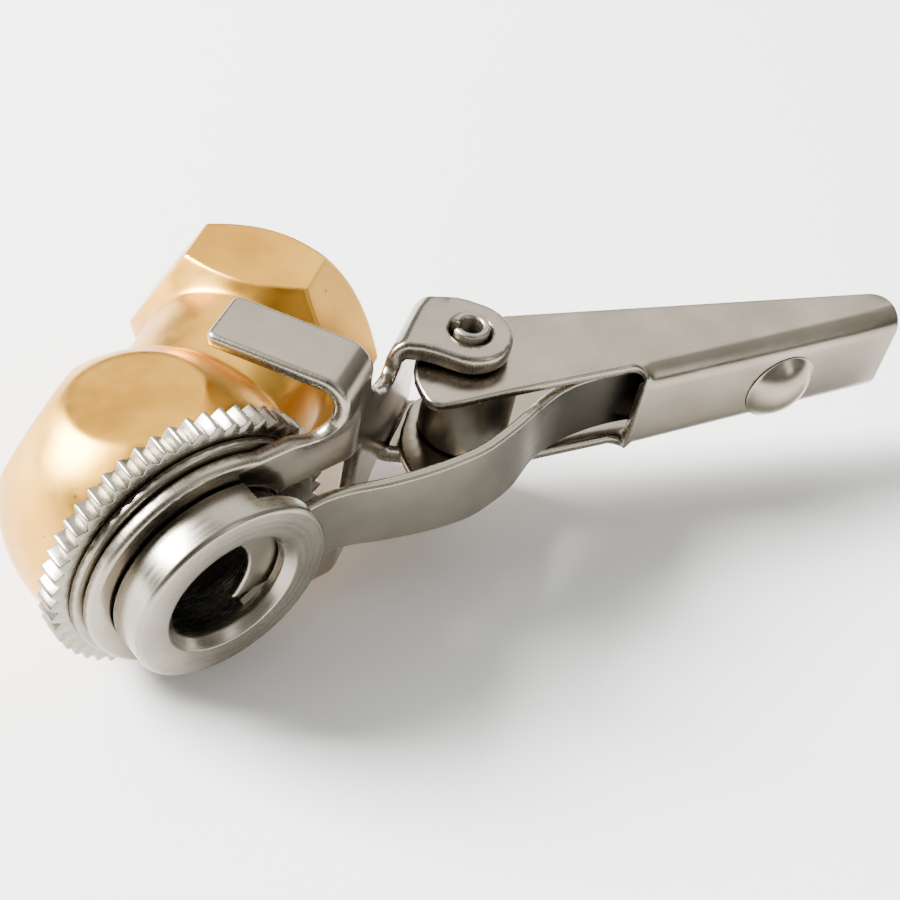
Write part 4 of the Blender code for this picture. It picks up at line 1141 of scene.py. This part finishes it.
# ---- valve spring ----
def make_valve_spring(look):
    """The solid's own coil with its points merged."""
    bm = bmesh.new()
    bm.from_mesh(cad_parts["poppet_spring"].data)
    bmesh.ops.remove_doubles(bm, verts=bm.verts, dist=WELD / 2 * MM)
    mesh = bpy.data.meshes.new("poppet_spring_wound")
    bm.to_mesh(mesh)
    bm.free()
    mesh.materials.clear()
    mesh.materials.append(look)
    mesh.shade_smooth()
    piece = link_object("poppet_spring_wound", mesh)
    stand_for(piece, "body", "spring_steel", "poppet_spring")
    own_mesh(piece)


# ---- looks ----
ROLLED_WAY = (1.0, 0.06, 1.0)  # stretches the rolling grain along Y
# Where along Y the painted shade on the leaf, under the lever's channel, begins.
CHANNEL_SHADE_SPAN = (0.0075, 0.0135)  # stretch of Y, in metres

brass = tumbled_brass()
plate = satin_nickel("satin_nickel_plate", ("#8A8173", "#93897B", "#9C9385"),
                     dull=(0.19, 0.27), way=ROLLED_WAY)
# The leaf's plate, with painted shade where the lever's channel covers it.
leaf_plate = satin_nickel("plated_spring_leaf", ("#7A746A", "#827C70", "#8A8477"),
                          dull=(0.27, 0.36), way=ROLLED_WAY, channel_shade=CHANNEL_SHADE_SPAN)
edge = sheared_steel("sheared_plate_edge", bright="#958D7F", dark="#7A7367")
turned_plate = turned_metal("turned_nickel_plate", ("#868074", "#8E887B", "#979184"),
                            dull=(0.22, 0.32))
dark_steel = turned_metal("turned_dark_steel", ("#8F897E", "#989287", "#A19B90"),
                          dull=(0.28, 0.4))
valve_brass = turned_metal("turned_valve_brass", ("#B98F4C", "#C79C55", "#D0A965"),
                           dull=(0.25, 0.4))
rubber = moulded_rubber()

make_brass_body(brass)
make_inlet_thread(brass)
make_nose(turned_plate)
make_rings(turned_plate)
make_bracket(plate, edge)
make_pivot(dark_steel)
make_lever(plate, edge)
make_rivet(plate)
make_leaf(leaf_plate, edge)
make_valve_spring(dark_steel)

kept = {"stem_seal": rubber, "poppet_seal": rubber, "body_o_ring": rubber,
        "seal_washer": valve_brass, "valve_seat": valve_brass, "poppet": valve_brass,
        "depressor_pin": dark_steel, "rivet_washer": turned_plate}
for name, look in kept.items():
    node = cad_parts[name]
    node.data.materials.clear()
    node.data.materials.append(look)

# ---- floor, light and camera ----
FLOOR_LEVEL = -11.31 * MM  # just under the lock ring's lowest tooth
FLOOR_SIZE = 3.0
VIEW_WAY = Vector((-0.46, 0.529, -0.713))  # the way the camera looks
CAMERA_RIGHT = Vector((0.623, 0.764, 0.165))
CAMERA_SPOT = (55.2 + NOSE_REACH, -45.1, 90.3)
LENS, FILM_WIDTH = 65.95, 36.0
SCENE_MIDDLE = to_part((5, 15, 0))
# Each light: its name, its place from the scene's middle (m), its sides (m) and its watts.
LIGHTS = (("key", (-0.48, -0.44, 0.46), (0.38, 0.32), 50.0),
          ("back", (-0.40, 0.46, 0.60), (0.9, 0.7), 3.6),
          ("right", (0.6, 0.2, 0.35), (0.15, 0.4), 0.5))
SCREEN_EDGE = (0.86, 0.96)  # cosines between which the dark screen begins
WALL_STRENGTH = 1.3


def make_floor():
    bm = bmesh.new()
    bmesh.ops.create_grid(bm, x_segments=1, y_segments=1, size=FLOOR_SIZE)
    mesh = bpy.data.meshes.new("floor")
    bmesh.ops.translate(bm, verts=bm.verts, vec=(0, 0, FLOOR_LEVEL))
    bm.to_mesh(mesh)
    bm.free()
    mesh.materials.append(pale_floor())
    link_object("floor", mesh)


def soft_box(name, away, sides, power):
    light = bpy.data.lights.new(name, "AREA")
    light.shape = "RECTANGLE"
    light.size, light.size_y = sides
    light.energy = power
    made = link_object(name, light)
    made.location = SCENE_MIDDLE + Vector(away)
    made.rotation_euler = (SCENE_MIDDLE - made.location).to_track_quat("-Z", "Y").to_euler()


def make_studio_walls():
    """What the metal mirrors beyond the lights: grey walls, darker low down, a lighter
    ceiling, and a dark screen high up behind the camera."""
    world = bpy.data.worlds.new("studio_walls")
    world.use_nodes = True
    tree = world.node_tree
    where = add_node(tree, "ShaderNodeTexCoord")
    parts = add_node(tree, "ShaderNodeSeparateXYZ", Vector=(where, "Generated"))
    tone = ramp(tree, (parts, "Z"), ((0.0, "#7C7C7A"), (0.15, "#727270"), (0.4, "#A8A8A6"),
                                     (0.85, "#D8D8D6")))
    facing = add_node(tree, "ShaderNodeVectorMath", {"operation": "DOT_PRODUCT"},
                      _0=(where, "Generated"), _1=tuple(-VIEW_WAY))
    screen = between(tree, (facing, "Value"), *SCREEN_EDGE)
    walls = mix_colours(tree, screen, tone, "#1E1E1E")
    background = tree.nodes["Background"]
    join(tree, walls, background, "Color")
    background.inputs["Strength"].default_value = WALL_STRENGTH
    bpy.context.scene.world = world


def make_camera():
    """The photograph's viewpoint: where it stood, which way it looked and its lens."""
    ahead = VIEW_WAY.normalized()
    right = (CAMERA_RIGHT - ahead * CAMERA_RIGHT.dot(ahead)).normalized()
    data = bpy.data.cameras.new("camera")
    data.sensor_width = FILM_WIDTH
    data.sensor_fit = "HORIZONTAL"
    data.lens = LENS
    data.clip_start = 0.005
    made = link_object("camera", data)
    made.matrix_world = frame_matrix(to_part(CAMERA_SPOT), right, right.cross(ahead), -ahead)
    bpy.context.scene.camera = made


make_floor()
for light in LIGHTS:
    soft_box(*light)
make_studio_walls()
make_camera()
